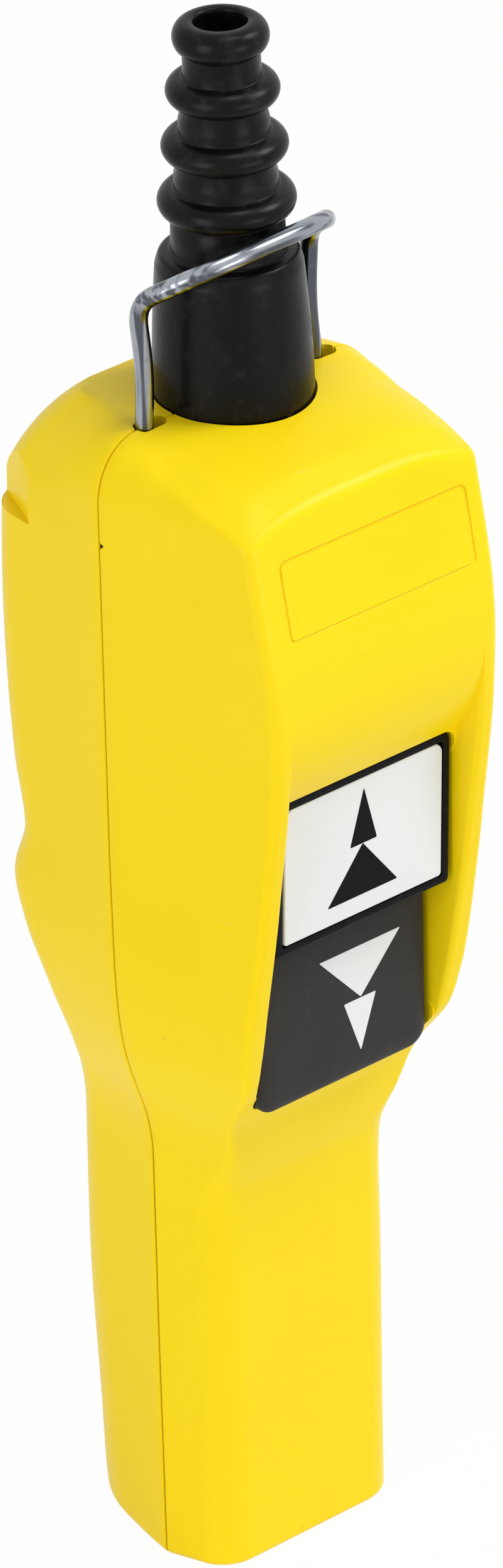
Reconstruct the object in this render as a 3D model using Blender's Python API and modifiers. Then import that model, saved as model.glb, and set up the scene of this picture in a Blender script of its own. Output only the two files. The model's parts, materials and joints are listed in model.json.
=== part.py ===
"""Pendant control station: a pistol grip with two thumb buttons that hangs from a hoist or a crane.

The housing is two moulded half shells that meet on the plane Y = 0. The buttons face -Y, +Z is up, and the
origin is the middle of the flat base of the grip. Every length below is in millimetres and becomes metres
only when a mesh is made.
"""

import math

import bmesh
import bpy
import numpy as np
from mathutils import Matrix, Vector

MM = 0.001

# Housing
HEAD_Z = 241.9
BODY_HALF_WIDTH = 34.7
WALL = 3.0
PARTING_GAP = 0.3
BASE_ROUNDING_SEAM = (2.2, 2.2)
BASE_ROUNDING_FRONT = (1.8, 1.8)
BASE_ROUNDING_REAR = (7.4, 6.6)
TOP_ROUNDING_SEAM = (10.4, 12.4)
TOP_ROUNDING_FRONT = (2.8, 2.8)
TOP_ROUNDING_REAR = (11.8, 18.5)
REAR_TURN_FLATNESS = 0.6
TOP_LEVEL_DEPTH = 8.0
TOP_FALL_FRONT = 5.3
TOP_FALL_REAR = 1.2
TOP_FALL_POWER = 1.6
TOP_ARCH = 3.2

# Half width of the parting outline at each height
SEAM_STATIONS = (
    (0.0, 25.9),
    (20.0, 26.0),
    (57.0, 26.2),
    (84.0, 26.2),
    (93.0, 26.4),
    (100.0, 27.8),
    (106.0, 29.9),
    (114.0, 32.3),
    (121.0, 33.5),
    (128.0, 34.1),
    (142.0, 34.5),
    (166.0, 34.7),
    (242.0, 34.7),
)

# Stations of each half: height, depth from the parting plane, narrowing of the side, corner radius
FRONT_STATIONS = (
    (0.0, 13.5, 4.6, 8.0),
    (58.0, 13.8, 4.6, 8.0),
    (78.0, 14.0, 4.8, 8.0),
    (86.0, 14.8, 4.8, 8.0),
    (89.0, 16.4, 4.9, 7.2),
    (92.0, 18.4, 5.0, 6.4),
    (98.0, 21.5, 5.5, 5.2),
    (104.0, 24.6, 6.4, 4.4),
    (111.0, 29.0, 6.6, 3.8),
    (134.0, 33.9, 7.6, 4.0),
    (154.0, 36.8, 7.8, 4.0),
    (176.0, 39.1, 7.1, 3.4),
    (195.0, 40.5, 6.8, 2.8),
    (229.4, 34.5, 6.1, 2.8),
    (242.0, 32.3, 5.9, 2.8),
)
REAR_STATIONS = (
    (0.0, 29.1, 4.2, 17.0),
    (23.0, 28.9, 3.6, 15.5),
    (58.0, 28.7, 2.8, 13.0),
    (77.0, 28.1, 2.8, 12.0),
    (90.0, 27.4, 2.8, 11.0),
    (106.0, 26.7, 3.4, 10.5),
    (119.0, 31.3, 4.0, 10.0),
    (130.0, 34.9, 4.0, 10.0),
    (139.0, 36.5, 4.0, 9.0),
    (151.0, 32.7, 4.0, 9.0),
    (165.0, 35.5, 4.0, 10.0),
    (196.0, 37.5, 4.0, 10.5),
    (242.0, 35.4, 4.0, 10.5),
)
OUTER_LEVELS = (
    12.0, 36.0, 58.0, 72.0, 80.0, 86.0, 89.5, 93.0, 96.5, 100.0, 104.0, 107.5, 111.0, 116.0, 121.0, 127.0,
    134.0, 139.0, 143.0, 147.0, 151.0, 155.0, 160.0, 167.0, 176.0, 186.0, 193.0, 195.0, 197.0, 205.0, 214.0,
)
CAVITY_LEVELS = (20.0, 58.0, 79.0, 91.0, 103.0, 112.5, 123.0, 134.0, 147.0, 156.0, 176.0, 194.0, 210.0)

# Thumb buttons, their channel between the guards, and their travel
FIT = 0.3
BUTTON_GAP = 0.4
BUTTON_TRAVEL = 4.0
BUTTON_WALL = 2.0
UPPER_HALF_WIDTH = 22.4
UPPER_TOP_Z = 174.6
UPPER_BOTTOM_Z = 141.8
UPPER_FACE_DEPTH = 32.5
UPPER_FACE_TILT = 2.0
UPPER_CORNER = 2.6
UPPER_EDGE = 0.5
FACE_SIDE_RIM = 2.3
FACE_TOP_RIM = 1.9
FACE_THICKNESS = 1.5
LOWER_HALF_WIDTH = 21.8
LOWER_TOP_Z = 140.4
LOWER_BOTTOM_Z = 106.1
LOWER_FACE_DEPTH = 26.3
LOWER_CORNER = 5.0
LOWER_EDGE = 1.6
LIP_SEAT_DEPTH = 21.0
LIP_THICKNESS = 2.0
LIP_REACH = 1.2
LOWER_LIP_FOOT = 19.5
LOWER_LIP_RISE = 11.0
GUARD_DRAFT = 0.3
GUARD_CHAMFER = 1.5
RAMP_TOP_Z = 195.2
RAMP_TOP_DEPTH = 40.5
RAMP_BOTTOM_DEPTH = 33.9
RAMP_SPLAY = 0.33

# Button works
STEM_RADIUS = 4.0
STEM_END_DEPTH = 13.5
CARRIER_FRONT_DEPTH = 12.0
CARRIER_THICKNESS = 2.5
CARRIER_HALF_WIDTH = 21.5
CARRIER_FOOT_HALF_WIDTH = 17.5
CARRIER_BOTTOM_Z = 96.5
CARRIER_TOP_Z = 188.0
GUIDE_WALL = 1.9
GUIDE_LENGTH = 7.0
SPRING_WIRE_RADIUS = 0.5
SPRING_RADIUS = 7.6
BOOT_RADIUS = 9.3
BOOT_FOLD = 1.4
BOOT_WALL = 0.8
BLOCK_HALF_WIDTH = 11.0
BLOCK_HALF_HEIGHT = 12.0
BLOCK_LENGTH = 22.0
BLOCK_LEDGE = 5.0
BLOCK_SPINE_HALF_WIDTH = 3.2
PLUNGER_RADIUS = 2.6
PLUNGER_LENGTH = 11.7
CLIP_HALF_WIDTH = 4.0
CLIP_THICKNESS = 1.7
CLIP_LENGTH = 6.5
CLIP_NOSE = 1.0
TERMINAL_OFFSET = 7.2
TERMINAL_HALF_WIDTH = 3.3
TERMINAL_HALF_HEIGHT = 4.5
TERMINAL_THICKNESS = 1.0

# Cable sleeve
SLEEVE_HEIGHT = 74.7
SLEEVE_BORE = 4.9
SLEEVE_SKIRT_RADIUS = 15.1
SLEEVE_LEAN = 0.8
SLEEVE_NECK_RADIUS = 12.1
SLEEVE_FLANGE_RADIUS = 16.0
SLEEVE_FLANGE_THICKNESS = 3.0
SLEEVE_SEAT_DEPTH = 2.0
THROAT_DEPTH = 6.0
THROAT_BOSS_RADIUS = 18.6
# Rings of the sleeve: height above the housing, radius, radius of the neck above it
SLEEVE_RINGS = ((60.9, 10.6, 7.3), (49.8, 11.8, 8.5), (38.8, 12.9, 9.7))
SLEEVE_RING_HALF_HEIGHT = 3.1
SLEEVE_LIP_RADIUS = 9.0
SLEEVE_SHOULDER_Z = 28.7
SLEEVE_LAST_NECK_RADIUS = 10.8
# Skirt of the sleeve from its shoulder down: radius, height above the housing
SLEEVE_SKIRT = ((13.0, 28.1), (13.8, 26.4), (14.0, 24.0), (14.6, 15.2), (15.0, 7.2))

# Hanger bail
WIRE_RADIUS = 1.75
BAIL_HALF_SPREAD = 21.3
BAIL_SHIFT = -1.3
BAIL_TILT = 1.5
BAIL_BOW = 0.75
BAIL_LEG_HEIGHT = 21.6
BAIL_RISE = 19.9
BAIL_SQUARENESS = 2.8
BAIL_LEAN = 57.0
BAIL_HIP = 7.5
BAIL_FOOT_DROP = 13.2
BAIL_FOOT_LENGTH = 8.2
BAIL_BEND = 3.6
SLOT_CENTRE = 21.5
SLOT_LENGTH = 7.2
LEDGE_HALF_DEPTH = 6.0

# Housing screws, their pockets and the bosses that they join
SCREW_RADIUS = 1.9
SCREW_HEAD_RADIUS = 3.6
SCREW_HEAD_HEIGHT = 2.4
SCREW_HOLE_GAP = 0.3
SCREW_GRIP = 9.0
SCREW_BITE = 9.5
POCKET_RADIUS = 4.4
REAR_BOSS_RADIUS = 6.4
FRONT_BOSS_RADIUS = 5.0
SCREW_PLACES = ((-18.5, 218.5), (18.5, 218.5), (-16.6, 84.0), (16.6, 84.0), (0.0, 24.0))
RELIEF_LOW_Z = 217.2
RELIEF_HIGH_Z = 246.0
RELIEF_X = 31.4
RELIEF_DEPTH = 22.0
RELIEF_TURN = 24.7

# Small screws
SMALL_SCREW_RADIUS = 1.3
SMALL_HEAD_RADIUS = 2.6
SMALL_HEAD_HEIGHT = 1.9
SMALL_BOSS_RADIUS = 3.2
CARRIER_SCREWS = ((-14.0, 100.5), (14.0, 100.5), (-14.0, 184.0), (14.0, 184.0))

# Cable clamp
CLAMP_Z = 207.0
CLAMP_HALF_HEIGHT = 4.0
CLAMP_HALF_WIDTH = 16.0
CLAMP_BORE = 5.2
CLAMP_ARCH = 2.8
CLAMP_EAR = 3.0
CLAMP_SCREW_X = 12.0
CLAMP_SEAT_Y = 1.0
PEDESTAL_HALF_HEIGHT = 5.0

# Seal strip in the parting line
SEAL_WIDTH = 1.0
SEAL_DEPTH = 1.8
SEAL_TOP_Z = 226.0

CAVITY_OVERRUN = 1.0
CUT_OVERRUN = 20.0


def clear_scene():
    for old in list(bpy.data.objects):
        bpy.data.objects.remove(old, do_unlink=True)


def new_collection(name):
    made = bpy.data.collections.new(name)
    bpy.context.scene.collection.children.link(made)
    return made


def make_material(name, colour, roughness, metallic=0.0):
    made = bpy.data.materials.new(name)
    made.use_nodes = True
    shader = made.node_tree.nodes["Principled BSDF"]
    shader.inputs["Base Color"].default_value = (*colour, 1.0)
    shader.inputs["Roughness"].default_value = roughness
    shader.inputs["Metallic"].default_value = metallic
    return made


clear_scene()
STATION = new_collection("pendant_control_station")
CUTTERS = new_collection("cutters")
YELLOW = make_material("yellow polypropylene", (0.95, 0.72, 0.0), 0.38)
RUBBER = make_material("black rubber", (0.02, 0.02, 0.022), 0.6)
ZINC = make_material("zinc plated steel", (0.6, 0.62, 0.66), 0.3, 1.0)
BLACK = make_material("black moulding", (0.02, 0.02, 0.024), 0.4)
WHITE = make_material("white moulding", (0.84, 0.86, 0.85), 0.35)
CHARCOAL = make_material("charcoal moulding", (0.055, 0.052, 0.05), 0.5)
BRASS = make_material("brass", (0.7, 0.5, 0.2), 0.35, 1.0)
GREY = make_material("grey moulding", (0.3, 0.31, 0.32), 0.5)


def finish_object(made, material, at=(0.0, 0.0, 0.0)):
    """Puts a finished piece in the station's collection with its material and its origin at `at`."""
    made.location = Vector(at) * MM
    if material is None:
        CUTTERS.objects.link(made)
        made.hide_render = True
        made.display_type = "WIRE"
    else:
        STATION.objects.link(made)
        made.data.materials.append(material)
    return made


def object_from_bmesh(name, shape, material=None, at=(0.0, 0.0, 0.0)):
    """Makes an object of a bmesh in millimetres whose points are given in the world, with its origin at `at`."""
    bmesh.ops.translate(shape, verts=shape.verts, vec=-Vector(at))
    bmesh.ops.scale(shape, verts=shape.verts, vec=(MM, MM, MM))
    bmesh.ops.recalc_face_normals(shape, faces=shape.faces)
    mesh = bpy.data.meshes.new(name)
    shape.to_mesh(mesh)
    shape.free()
    return finish_object(bpy.data.objects.new(name, mesh), material, at)


def box(name, low, high, material=None, at=(0.0, 0.0, 0.0)):
    shape = bmesh.new()
    size = Vector(high) - Vector(low)
    middle = (Vector(high) + Vector(low)) / 2
    placed = Matrix.Translation(middle) @ Matrix.Diagonal((*size, 1.0))
    bmesh.ops.create_cube(shape, size=1.0, matrix=placed)
    return object_from_bmesh(name, shape, material, at)


def cylinder_y(name, x, z, radius, y_low, y_high, material=None, segments=20, at=(0.0, 0.0, 0.0)):
    """A round bar along Y."""
    shape = bmesh.new()
    placed = Matrix.Translation((x, (y_low + y_high) / 2, z)) @ Matrix.Rotation(math.radians(90), 4, "X")
    bmesh.ops.create_cone(
        shape, cap_ends=True, segments=segments, radius1=radius, radius2=radius,
        depth=y_high - y_low, matrix=placed,
    )
    return object_from_bmesh(name, shape, material, at)


def cylinder_z(name, x, y, radius, z_low, z_high, material=None, segments=32):
    """A round bar along Z."""
    shape = bmesh.new()
    placed = Matrix.Translation((x, y, (z_low + z_high) / 2))
    bmesh.ops.create_cone(
        shape, cap_ends=True, segments=segments, radius1=radius, radius2=radius,
        depth=z_high - z_low, matrix=placed,
    )
    return object_from_bmesh(name, shape, material)


def prism(name, outline, along, low, high, material=None, at=(0.0, 0.0, 0.0)):
    """A flat outline pushed along an axis. The outline's pairs are (y, z), (x, z) or (x, y), in that order."""
    place = {
        "X": lambda a, b, c: (c, a, b),
        "Y": lambda a, b, c: (a, c, b),
        "Z": lambda a, b, c: (a, b, c),
    }[along]
    shape = bmesh.new()
    face = shape.faces.new([shape.verts.new(place(a, b, low)) for a, b in outline])
    pushed = bmesh.ops.extrude_face_region(shape, geom=[face])
    moved = [part for part in pushed["geom"] if isinstance(part, bmesh.types.BMVert)]
    bmesh.ops.translate(shape, verts=moved, vec=place(0.0, 0.0, high - low))
    return object_from_bmesh(name, shape, material, at)


def loft(name, rings, material=None):
    """A closed skin through rings of equal count, with a flat face over each end."""
    shape = bmesh.new()
    rows = [[shape.verts.new(point) for point in ring] for ring in rings]
    count = len(rows[0])
    for lower, upper in zip(rows[:-1], rows[1:]):
        for i in range(count):
            j = (i + 1) % count
            shape.faces.new((lower[i], lower[j], upper[j], upper[i]))
    shape.faces.new(rows[0][::-1])
    shape.faces.new(rows[-1])
    return object_from_bmesh(name, shape, material)


def half_loft(name, rings, tip):
    """A closed skin through open rings whose ends all lie in one plane: that plane becomes one flat face."""
    shape = bmesh.new()
    rows = [[shape.verts.new(point) for point in ring] for ring in rings]
    for lower, upper in zip(rows[:-1], rows[1:]):
        for i in range(len(lower) - 1):
            shape.faces.new((lower[i], lower[i + 1], upper[i + 1], upper[i]))
    shape.faces.new(rows[0][::-1])
    peak = shape.verts.new(tip)
    top = rows[-1]
    for i in range(len(top)):
        shape.faces.new((top[i], top[(i + 1) % len(top)], peak))
    shape.faces.new([row[0] for row in rows] + [row[-1] for row in rows[::-1]])
    return object_from_bmesh(name, shape)


def turned(name, profile, axis, material, segments, at, hidden=False):
    """A closed profile of (radius, distance along the axis) turned about the axis through `at`."""
    mesh = bpy.data.meshes.new(name)
    points = [(radius * MM, 0.0, along * MM) for radius, along in profile]
    edges = [(i, (i + 1) % len(points)) for i in range(len(points))]
    mesh.from_pydata(points, edges, [])
    made = bpy.data.objects.new(name, mesh)
    finish_object(made, None if hidden else material, at)
    if axis == "Y":
        made.rotation_euler = (math.radians(90), 0.0, 0.0)
    screw = made.modifiers.new("turn", "SCREW")
    screw.axis = "Z"
    screw.steps = segments
    screw.render_steps = segments
    screw.use_merge_vertices = True
    screw.merge_threshold = 0.00001
    mesh.shade_smooth()
    return made


def wire(name, points, radius, material, at=(0.0, 0.0, 0.0), resolution=2):
    """A round wire with filled ends along the given points."""
    curve = bpy.data.curves.new(name, "CURVE")
    curve.dimensions = "3D"
    curve.bevel_depth = radius * MM
    curve.bevel_resolution = resolution
    curve.use_fill_caps = True
    spline = curve.splines.new("POLY")
    spline.points.add(len(points) - 1)
    for slot, point in zip(spline.points, points):
        slot.co = (*((Vector(point) - Vector(at)) * MM), 1.0)
    return finish_object(bpy.data.objects.new(name, curve), material, at)


def cut(target, *cutters, join=False):
    for tool in cutters:
        change = target.modifiers.new(tool.name, "BOOLEAN")
        change.operation = "UNION" if join else "DIFFERENCE"
        change.solver = "EXACT"
        change.object = tool
    return target


def bevel(target, width, segments=2):
    edges = target.modifiers.new("edges", "BEVEL")
    edges.width = width * MM
    edges.segments = segments
    edges.limit_method = "ANGLE"
    edges.angle_limit = math.radians(40)
    return target


def smooth_step(low, high, value):
    share = min(max((value - low) / (high - low), 0.0), 1.0)
    return share * share * (3.0 - 2.0 * share)


def mix(first, second, share):
    return first + (second - first) * share


def along_stations(stations, z):
    """Values of the stations at a height, on a cubic that never overshoots between two of them."""
    table = np.array(stations)
    heights, values = table[:, 0], table[:, 1:]
    step = np.diff(heights)[:, None]
    slope = np.diff(values, axis=0) / step
    tangent = np.vstack([slope[:1], (slope[1:] + slope[:-1]) / 2, slope[-1:]])
    flat = slope[1:] * slope[:-1] <= 0.0
    tangent[1:-1][flat] = 0.0
    z = min(max(z, heights[0]), heights[-1])
    k = min(int(np.searchsorted(heights, z, side="right")) - 1, len(heights) - 2)
    width = heights[k + 1] - heights[k]
    t = (z - heights[k]) / width
    start, end = values[k], values[k + 1]
    ease = t * t * (3.0 - 2.0 * t)
    bend_in = t * (1.0 - t) ** 2 * width * tangent[k]
    bend_out = t * t * (1.0 - t) * width * tangent[k + 1]
    return start + (end - start) * ease + bend_in - bend_out


def rounded(corners, steps):
    """An outline whose corners (x, y, radius) become arcs; a radius of zero keeps the corner sharp."""
    outline = []
    count = len(corners)
    for i, (x, y, radius) in enumerate(corners):
        corner = np.array([x, y])
        if radius <= 0.0:
            outline.append(tuple(corner))
            continue
        before = np.array(corners[i - 1][:2]) - corner
        after = np.array(corners[(i + 1) % count][:2]) - corner
        before /= np.linalg.norm(before)
        after /= np.linalg.norm(after)
        opening = math.acos(float(np.clip(before @ after, -1.0, 1.0)))
        bisector = (before + after) / np.linalg.norm(before + after)
        centre = corner + bisector * radius / math.sin(opening / 2)
        start = corner + before * radius / math.tan(opening / 2) - centre
        end = corner + after * radius / math.tan(opening / 2) - centre
        first = math.atan2(start[1], start[0])
        sweep = (math.atan2(end[1], end[0]) - first + math.pi) % (2 * math.pi) - math.pi
        for k in range(steps + 1):
            angle = first + sweep * k / steps
            outline.append(tuple(centre + radius * np.array([math.cos(angle), math.sin(angle)])))
    return outline


def seam_half_width(z):
    return float(along_stations(SEAM_STATIONS, z)[0])


def half_section(z, stations, inset, corner_steps):
    """Outline of one half at a height, from the +X seam round to the -X seam: rows of x and depth."""
    depth, narrowing, radius = along_stations(stations, z)
    seam = seam_half_width(z) - inset
    depth = depth - inset
    tip = seam - narrowing
    radius = max(radius - inset, 1.0)
    arc = rounded(((seam, 0.0, 0.0), (tip, depth, radius), (-tip, depth, 0.0)), corner_steps)[1:-1]
    start = np.array(arc[0])
    shares = (0.0, 0.5) if corner_steps > 3 else (0.0,)
    quarter = [(seam + (start[0] - seam) * share, start[1] * share) for share in shares]
    quarter += arc
    quarter.append((arc[-1][0] * 0.5, depth))
    quarter = np.array(quarter)
    middle = np.array([[0.0, depth]])
    return np.vstack([quarter, middle, quarter[::-1] * np.array([-1.0, 1.0])])


def top_height(x, depth, front):
    """Height of the top face: level round the sleeve, falling away beyond it, and arched across the front."""
    run = max(depth - TOP_LEVEL_DEPTH, 0.0) / (FRONT_STATIONS[-1][1] - TOP_LEVEL_DEPTH)
    if front:
        arch = TOP_ARCH * (abs(x) / 27.5) ** 4 * min(depth / 30.0, 1.2)
        return HEAD_Z - TOP_FALL_FRONT * run ** TOP_FALL_POWER - arch
    return HEAD_Z - TOP_FALL_REAR * run ** TOP_FALL_POWER


def turn_in(outline, at_seam, at_edge, inset):
    """How far each column of an outline moves in, and how high, where the skin turns over an edge.

    The pairs give both lengths at the parting line and at the far face, and the columns between are eased.
    """
    far = np.abs(outline).max(axis=0)
    share = np.clip(outline[:, 1] / (0.92 * far[1]), 0.0, 1.0)
    share = share * share * (3.0 - 2.0 * share)
    reach = np.maximum(mix(at_seam[0], at_edge[0], share) - inset, 0.8)
    rise = np.maximum(mix(at_seam[1], at_edge[1], share) - inset, 0.8)
    inward = np.column_stack([reach * outline[:, 0] / far[0], max(at_edge[0] - inset, 0.8) * outline[:, 1] / far[1]])
    return inward, rise, share


def half_shell_rings(front, inset, levels, corner_steps, rounding_steps, seam_depth):
    """Rings of one housing half from its base to its top face, open towards nothing: a closed solid.

    The base edge is rolled in, the sides follow the stations, and over the shoulder each column of points
    turns in with its own rounding, which is widest at the parting line.
    """
    stations = FRONT_STATIONS if front else REAR_STATIONS
    sign = -1.0 if front else 1.0
    rings = []

    def placed(flat, heights):
        ring = np.column_stack([flat[:, 0], flat[:, 1] * sign, heights])
        ring[[0, -1], 1] = sign * seam_depth
        return ring

    foot = half_section(0.0, stations, inset, corner_steps)
    edge = BASE_ROUNDING_FRONT if front else BASE_ROUNDING_REAR
    inward, rise, _ = turn_in(foot, BASE_ROUNDING_SEAM, edge, inset)
    for k in range(rounding_steps + 1):
        angle = math.radians(90.0 - 90.0 * k / rounding_steps)
        heights = inset + rise * (1.0 - math.sin(angle))
        rings.append(placed(foot - inward * (1.0 - math.cos(angle)), heights))
    for z in levels:
        flat = half_section(z, stations, inset, corner_steps)
        rings.append(placed(flat, np.full(len(flat), z)))

    shoulder = half_section(levels[-1], stations, inset, corner_steps)
    edge = TOP_ROUNDING_FRONT if front else TOP_ROUNDING_REAR
    inward, rise, share = turn_in(shoulder, TOP_ROUNDING_SEAM, edge, inset)
    flatness = (0.0 if front else REAR_TURN_FLATNESS) * share
    rim = shoulder - inward
    rim_height = np.array([top_height(x, depth, front) for x, depth in rim]) - inset
    for k in range(rounding_steps + 2):
        portion = k / (rounding_steps + 1)
        angle = math.radians(90.0 * portion)
        turn = mix(1.0 - math.cos(angle), portion, flatness)
        heights = rim_height - rise * (1.0 - mix(math.sin(angle), portion, flatness))
        flat = np.array([
            half_section(z, stations, inset, corner_steps)[i] for i, z in enumerate(heights)
        ])
        rings.append(placed(flat - inward * turn[:, None], heights))
    last = rings[-1][:, :2].copy()
    centre_radius = SLEEVE_NECK_RADIUS - 2.0
    heading = np.arctan2(np.abs(last[:, 1]), last[:, 0])
    target = centre_radius * np.column_stack([np.cos(heading), sign * np.sin(heading)])
    for portion in (0.3, 0.65, 1.0):
        flat = mix(last, target, portion)
        heights = np.array([top_height(x, abs(y), front) for x, y in flat]) - inset
        ring = np.column_stack([flat, heights])
        ring[[0, -1], 1] = sign * seam_depth
        rings.append(ring)
    return rings


def half_solid(name, front, inset, levels, corner_steps, rounding_steps, seam_depth):
    rings = half_shell_rings(front, inset, levels, corner_steps, rounding_steps, seam_depth)
    sign = -1.0 if front else 1.0
    tip = (0.0, sign * (SLEEVE_NECK_RADIUS - 2.0) / 2, rings[-1][:, 2].mean())
    return half_loft(name, rings, tip)


def seam_outline(inset, top_z):
    """The parting outline between its top ends, down one side, round the base and up the other: (x, z)."""
    reach, rise = BASE_ROUNDING_SEAM
    side = [(seam_half_width(z), z) for z in np.linspace(top_z, rise + 4.0, 30)]
    foot = seam_half_width(0.0)
    corner = rounded(((foot, 9.0, 0.0), (foot, 0.0, rise + 2.6), (0.0, 0.0, 0.0)), 5)[1:-1]
    right = np.array([point for point in side if point[1] > rise + 3.2] + corner)
    path = np.vstack([right, right[::-1] * np.array([-1.0, 1.0])])
    run = np.gradient(path, axis=0)
    inward = np.column_stack([run[:, 1], -run[:, 0]])
    inward /= np.linalg.norm(inward, axis=1)[:, None]
    return path + inward * inset


def strip_outline(inset, width, top_z):
    """Closed outline of a strip of a given width that follows the parting line."""
    outer = seam_outline(inset - width / 2, top_z)
    inner = seam_outline(inset + width / 2, top_z)
    return [tuple(point) for point in np.vstack([outer, inner[::-1]])]


def screw_mesh(radius, head_radius, head_height, length, segments=14):
    """A round-headed screw along -Y from its seat at y = 0, with a straight driving slot, as one mesh."""
    profile = (
        (0.0, head_height), (head_radius * 0.72, head_height), (head_radius * 0.95, head_height * 0.72),
        (head_radius, head_height * 0.35), (head_radius, 0.0), (radius, 0.0),
        (radius, -length + radius * 0.6), (radius * 0.5, -length), (0.0, -length),
    )
    shape = bmesh.new()
    rows = []
    for reach, height in profile:
        if reach == 0.0:
            rows.append([shape.verts.new((0.0, height, 0.0))])
            continue
        turn = [2 * math.pi * k / segments for k in range(segments)]
        rows.append([shape.verts.new((reach * math.cos(a), height, reach * math.sin(a))) for a in turn])
    for upper, lower in zip(rows[:-1], rows[1:]):
        for i in range(segments):
            j = (i + 1) % segments
            ring = [upper[i % len(upper)], upper[j % len(upper)], lower[j % len(lower)], lower[i % len(lower)]]
            shape.faces.new(list(dict.fromkeys(ring)))
    blank = object_from_bmesh("screw_blank", shape, None)
    slot = box(
        "screw_slot", (-head_radius * 1.2, head_height * 0.45, -head_radius * 0.14),
        (head_radius * 1.2, head_height * 1.5, head_radius * 0.14),
    )
    cut(blank, slot)
    bpy.context.view_layer.update()
    graph = bpy.context.evaluated_depsgraph_get()
    mesh = bpy.data.meshes.new_from_object(blank.evaluated_get(graph))
    bpy.data.objects.remove(blank)
    bpy.data.objects.remove(slot)
    return mesh


def place_screw(name, mesh, x, seat_y, z, material, from_front=False):
    """A copy of the screw with the underside of its head at the seat, driven from the rear or the front."""
    made = bpy.data.objects.new(name, mesh)
    made.location = Vector((x, seat_y, z)) * MM
    if from_front:
        made.rotation_euler = (0.0, 0.0, math.radians(180))
    STATION.objects.link(made)
    if not mesh.materials:
        mesh.materials.append(material)
    return made


def build_sleeve():
    """The rubber sleeve: a lip, three rings on necks that widen downwards, a skirt, a neck and a flange."""
    top = HEAD_Z + SLEEVE_HEIGHT
    lip_centre = top - 3.2
    outer = [(SLEEVE_BORE + 0.7, top)]
    for k in range(7):
        angle = math.radians(80.0 - 160.0 * k / 6)
        outer.append((
            SLEEVE_LIP_RADIUS - 2.6 + 2.6 * math.cos(angle), lip_centre + 3.2 * math.sin(angle),
        ))
    for height, radius, neck in SLEEVE_RINGS:
        middle = HEAD_Z + height
        outer.append((neck, middle + SLEEVE_RING_HALF_HEIGHT + 1.2))
        outer.append((neck + 0.3, middle + SLEEVE_RING_HALF_HEIGHT))
        for k in range(7):
            angle = math.radians(72.0 - 144.0 * k / 6)
            bulge = radius - neck
            outer.append((neck + bulge * math.cos(angle) ** 0.8, middle + SLEEVE_RING_HALF_HEIGHT * math.sin(angle)))
    shoulder = HEAD_Z + SLEEVE_SHOULDER_Z
    outer.append((SLEEVE_LAST_NECK_RADIUS - 0.2, HEAD_Z + SLEEVE_RINGS[-1][0] - SLEEVE_RING_HALF_HEIGHT - 1.0))
    outer.append((SLEEVE_LAST_NECK_RADIUS, shoulder + 0.6))
    outer.append((SLEEVE_LAST_NECK_RADIUS + 1.2, shoulder))
    outer.extend((radius, HEAD_Z + height) for radius, height in SLEEVE_SKIRT)
    seat = HEAD_Z - SLEEVE_SEAT_DEPTH + FIT
    outer.append((SLEEVE_SKIRT_RADIUS, seat))
    flange_top = HEAD_Z - THROAT_DEPTH - FIT
    outer.append((SLEEVE_NECK_RADIUS, seat))
    outer.append((SLEEVE_NECK_RADIUS, flange_top))
    outer.append((SLEEVE_FLANGE_RADIUS, flange_top))
    flange_low = flange_top - SLEEVE_FLANGE_THICKNESS
    outer.append((SLEEVE_FLANGE_RADIUS, flange_low))
    inner = [
        (SLEEVE_NECK_RADIUS - 2.6, flange_low), (SLEEVE_NECK_RADIUS - 3.4, HEAD_Z + 18.0),
        (SLEEVE_BORE + 0.4, HEAD_Z + SLEEVE_RINGS[1][0]), (SLEEVE_BORE, top - 1.5), (SLEEVE_BORE + 0.2, top - 0.4),
    ]
    low = HEAD_Z - THROAT_DEPTH
    profile = [(radius, height - low) for radius, height in outer + inner]
    sleeve = turned("cable_sleeve", profile, "Z", RUBBER, 24, (0.0, 0.0, low))
    sleeve.rotation_euler = (0.0, math.radians(-SLEEVE_LEAN), 0.0)
    return sleeve


def bail_path():
    """Middle line of the wire: a foot, a bowed leg, and a flat arch that leans forward, then the same again."""
    lean = math.radians(BAIL_LEAN)
    hip_radius = BAIL_HIP / lean
    half = []
    half.append((BAIL_HALF_SPREAD + BAIL_FOOT_LENGTH, 0.0, -BAIL_FOOT_DROP))
    for k in range(5):
        angle = math.radians(90.0 * k / 4)
        half.append((
            BAIL_HALF_SPREAD + BAIL_BEND * (1.0 - math.sin(angle)), 0.0,
            -BAIL_FOOT_DROP + BAIL_BEND * (1.0 - math.cos(angle)),
        ))
    for k in range(7):
        share = k / 6
        bow = BAIL_BOW * math.sin(math.pi * share)
        half.append((BAIL_HALF_SPREAD - bow, 0.0, BAIL_LEG_HEIGHT * share))
    for degrees in (5.0, 12.0, 20.0, 29.0, 39.0, 51.0, 65.0, 78.0, 90.0):
        angle = math.radians(degrees)
        x = BAIL_HALF_SPREAD * math.cos(angle) ** (2.0 / BAIL_SQUARENESS)
        run = BAIL_RISE * math.sin(angle) ** (2.0 / BAIL_SQUARENESS)
        bent = min(run / BAIL_HIP, 1.0) * lean
        rest = max(run - BAIL_HIP, 0.0)
        half.append((
            x, -hip_radius * (1.0 - math.cos(bent)) - rest * math.sin(lean),
            BAIL_LEG_HEIGHT + hip_radius * math.sin(bent) + rest * math.cos(lean),
        ))
    half[-1] = (0.0, half[-1][1], half[-1][2])
    return half + [(-x, y, z) for x, y, z in half[-2::-1]]


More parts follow.
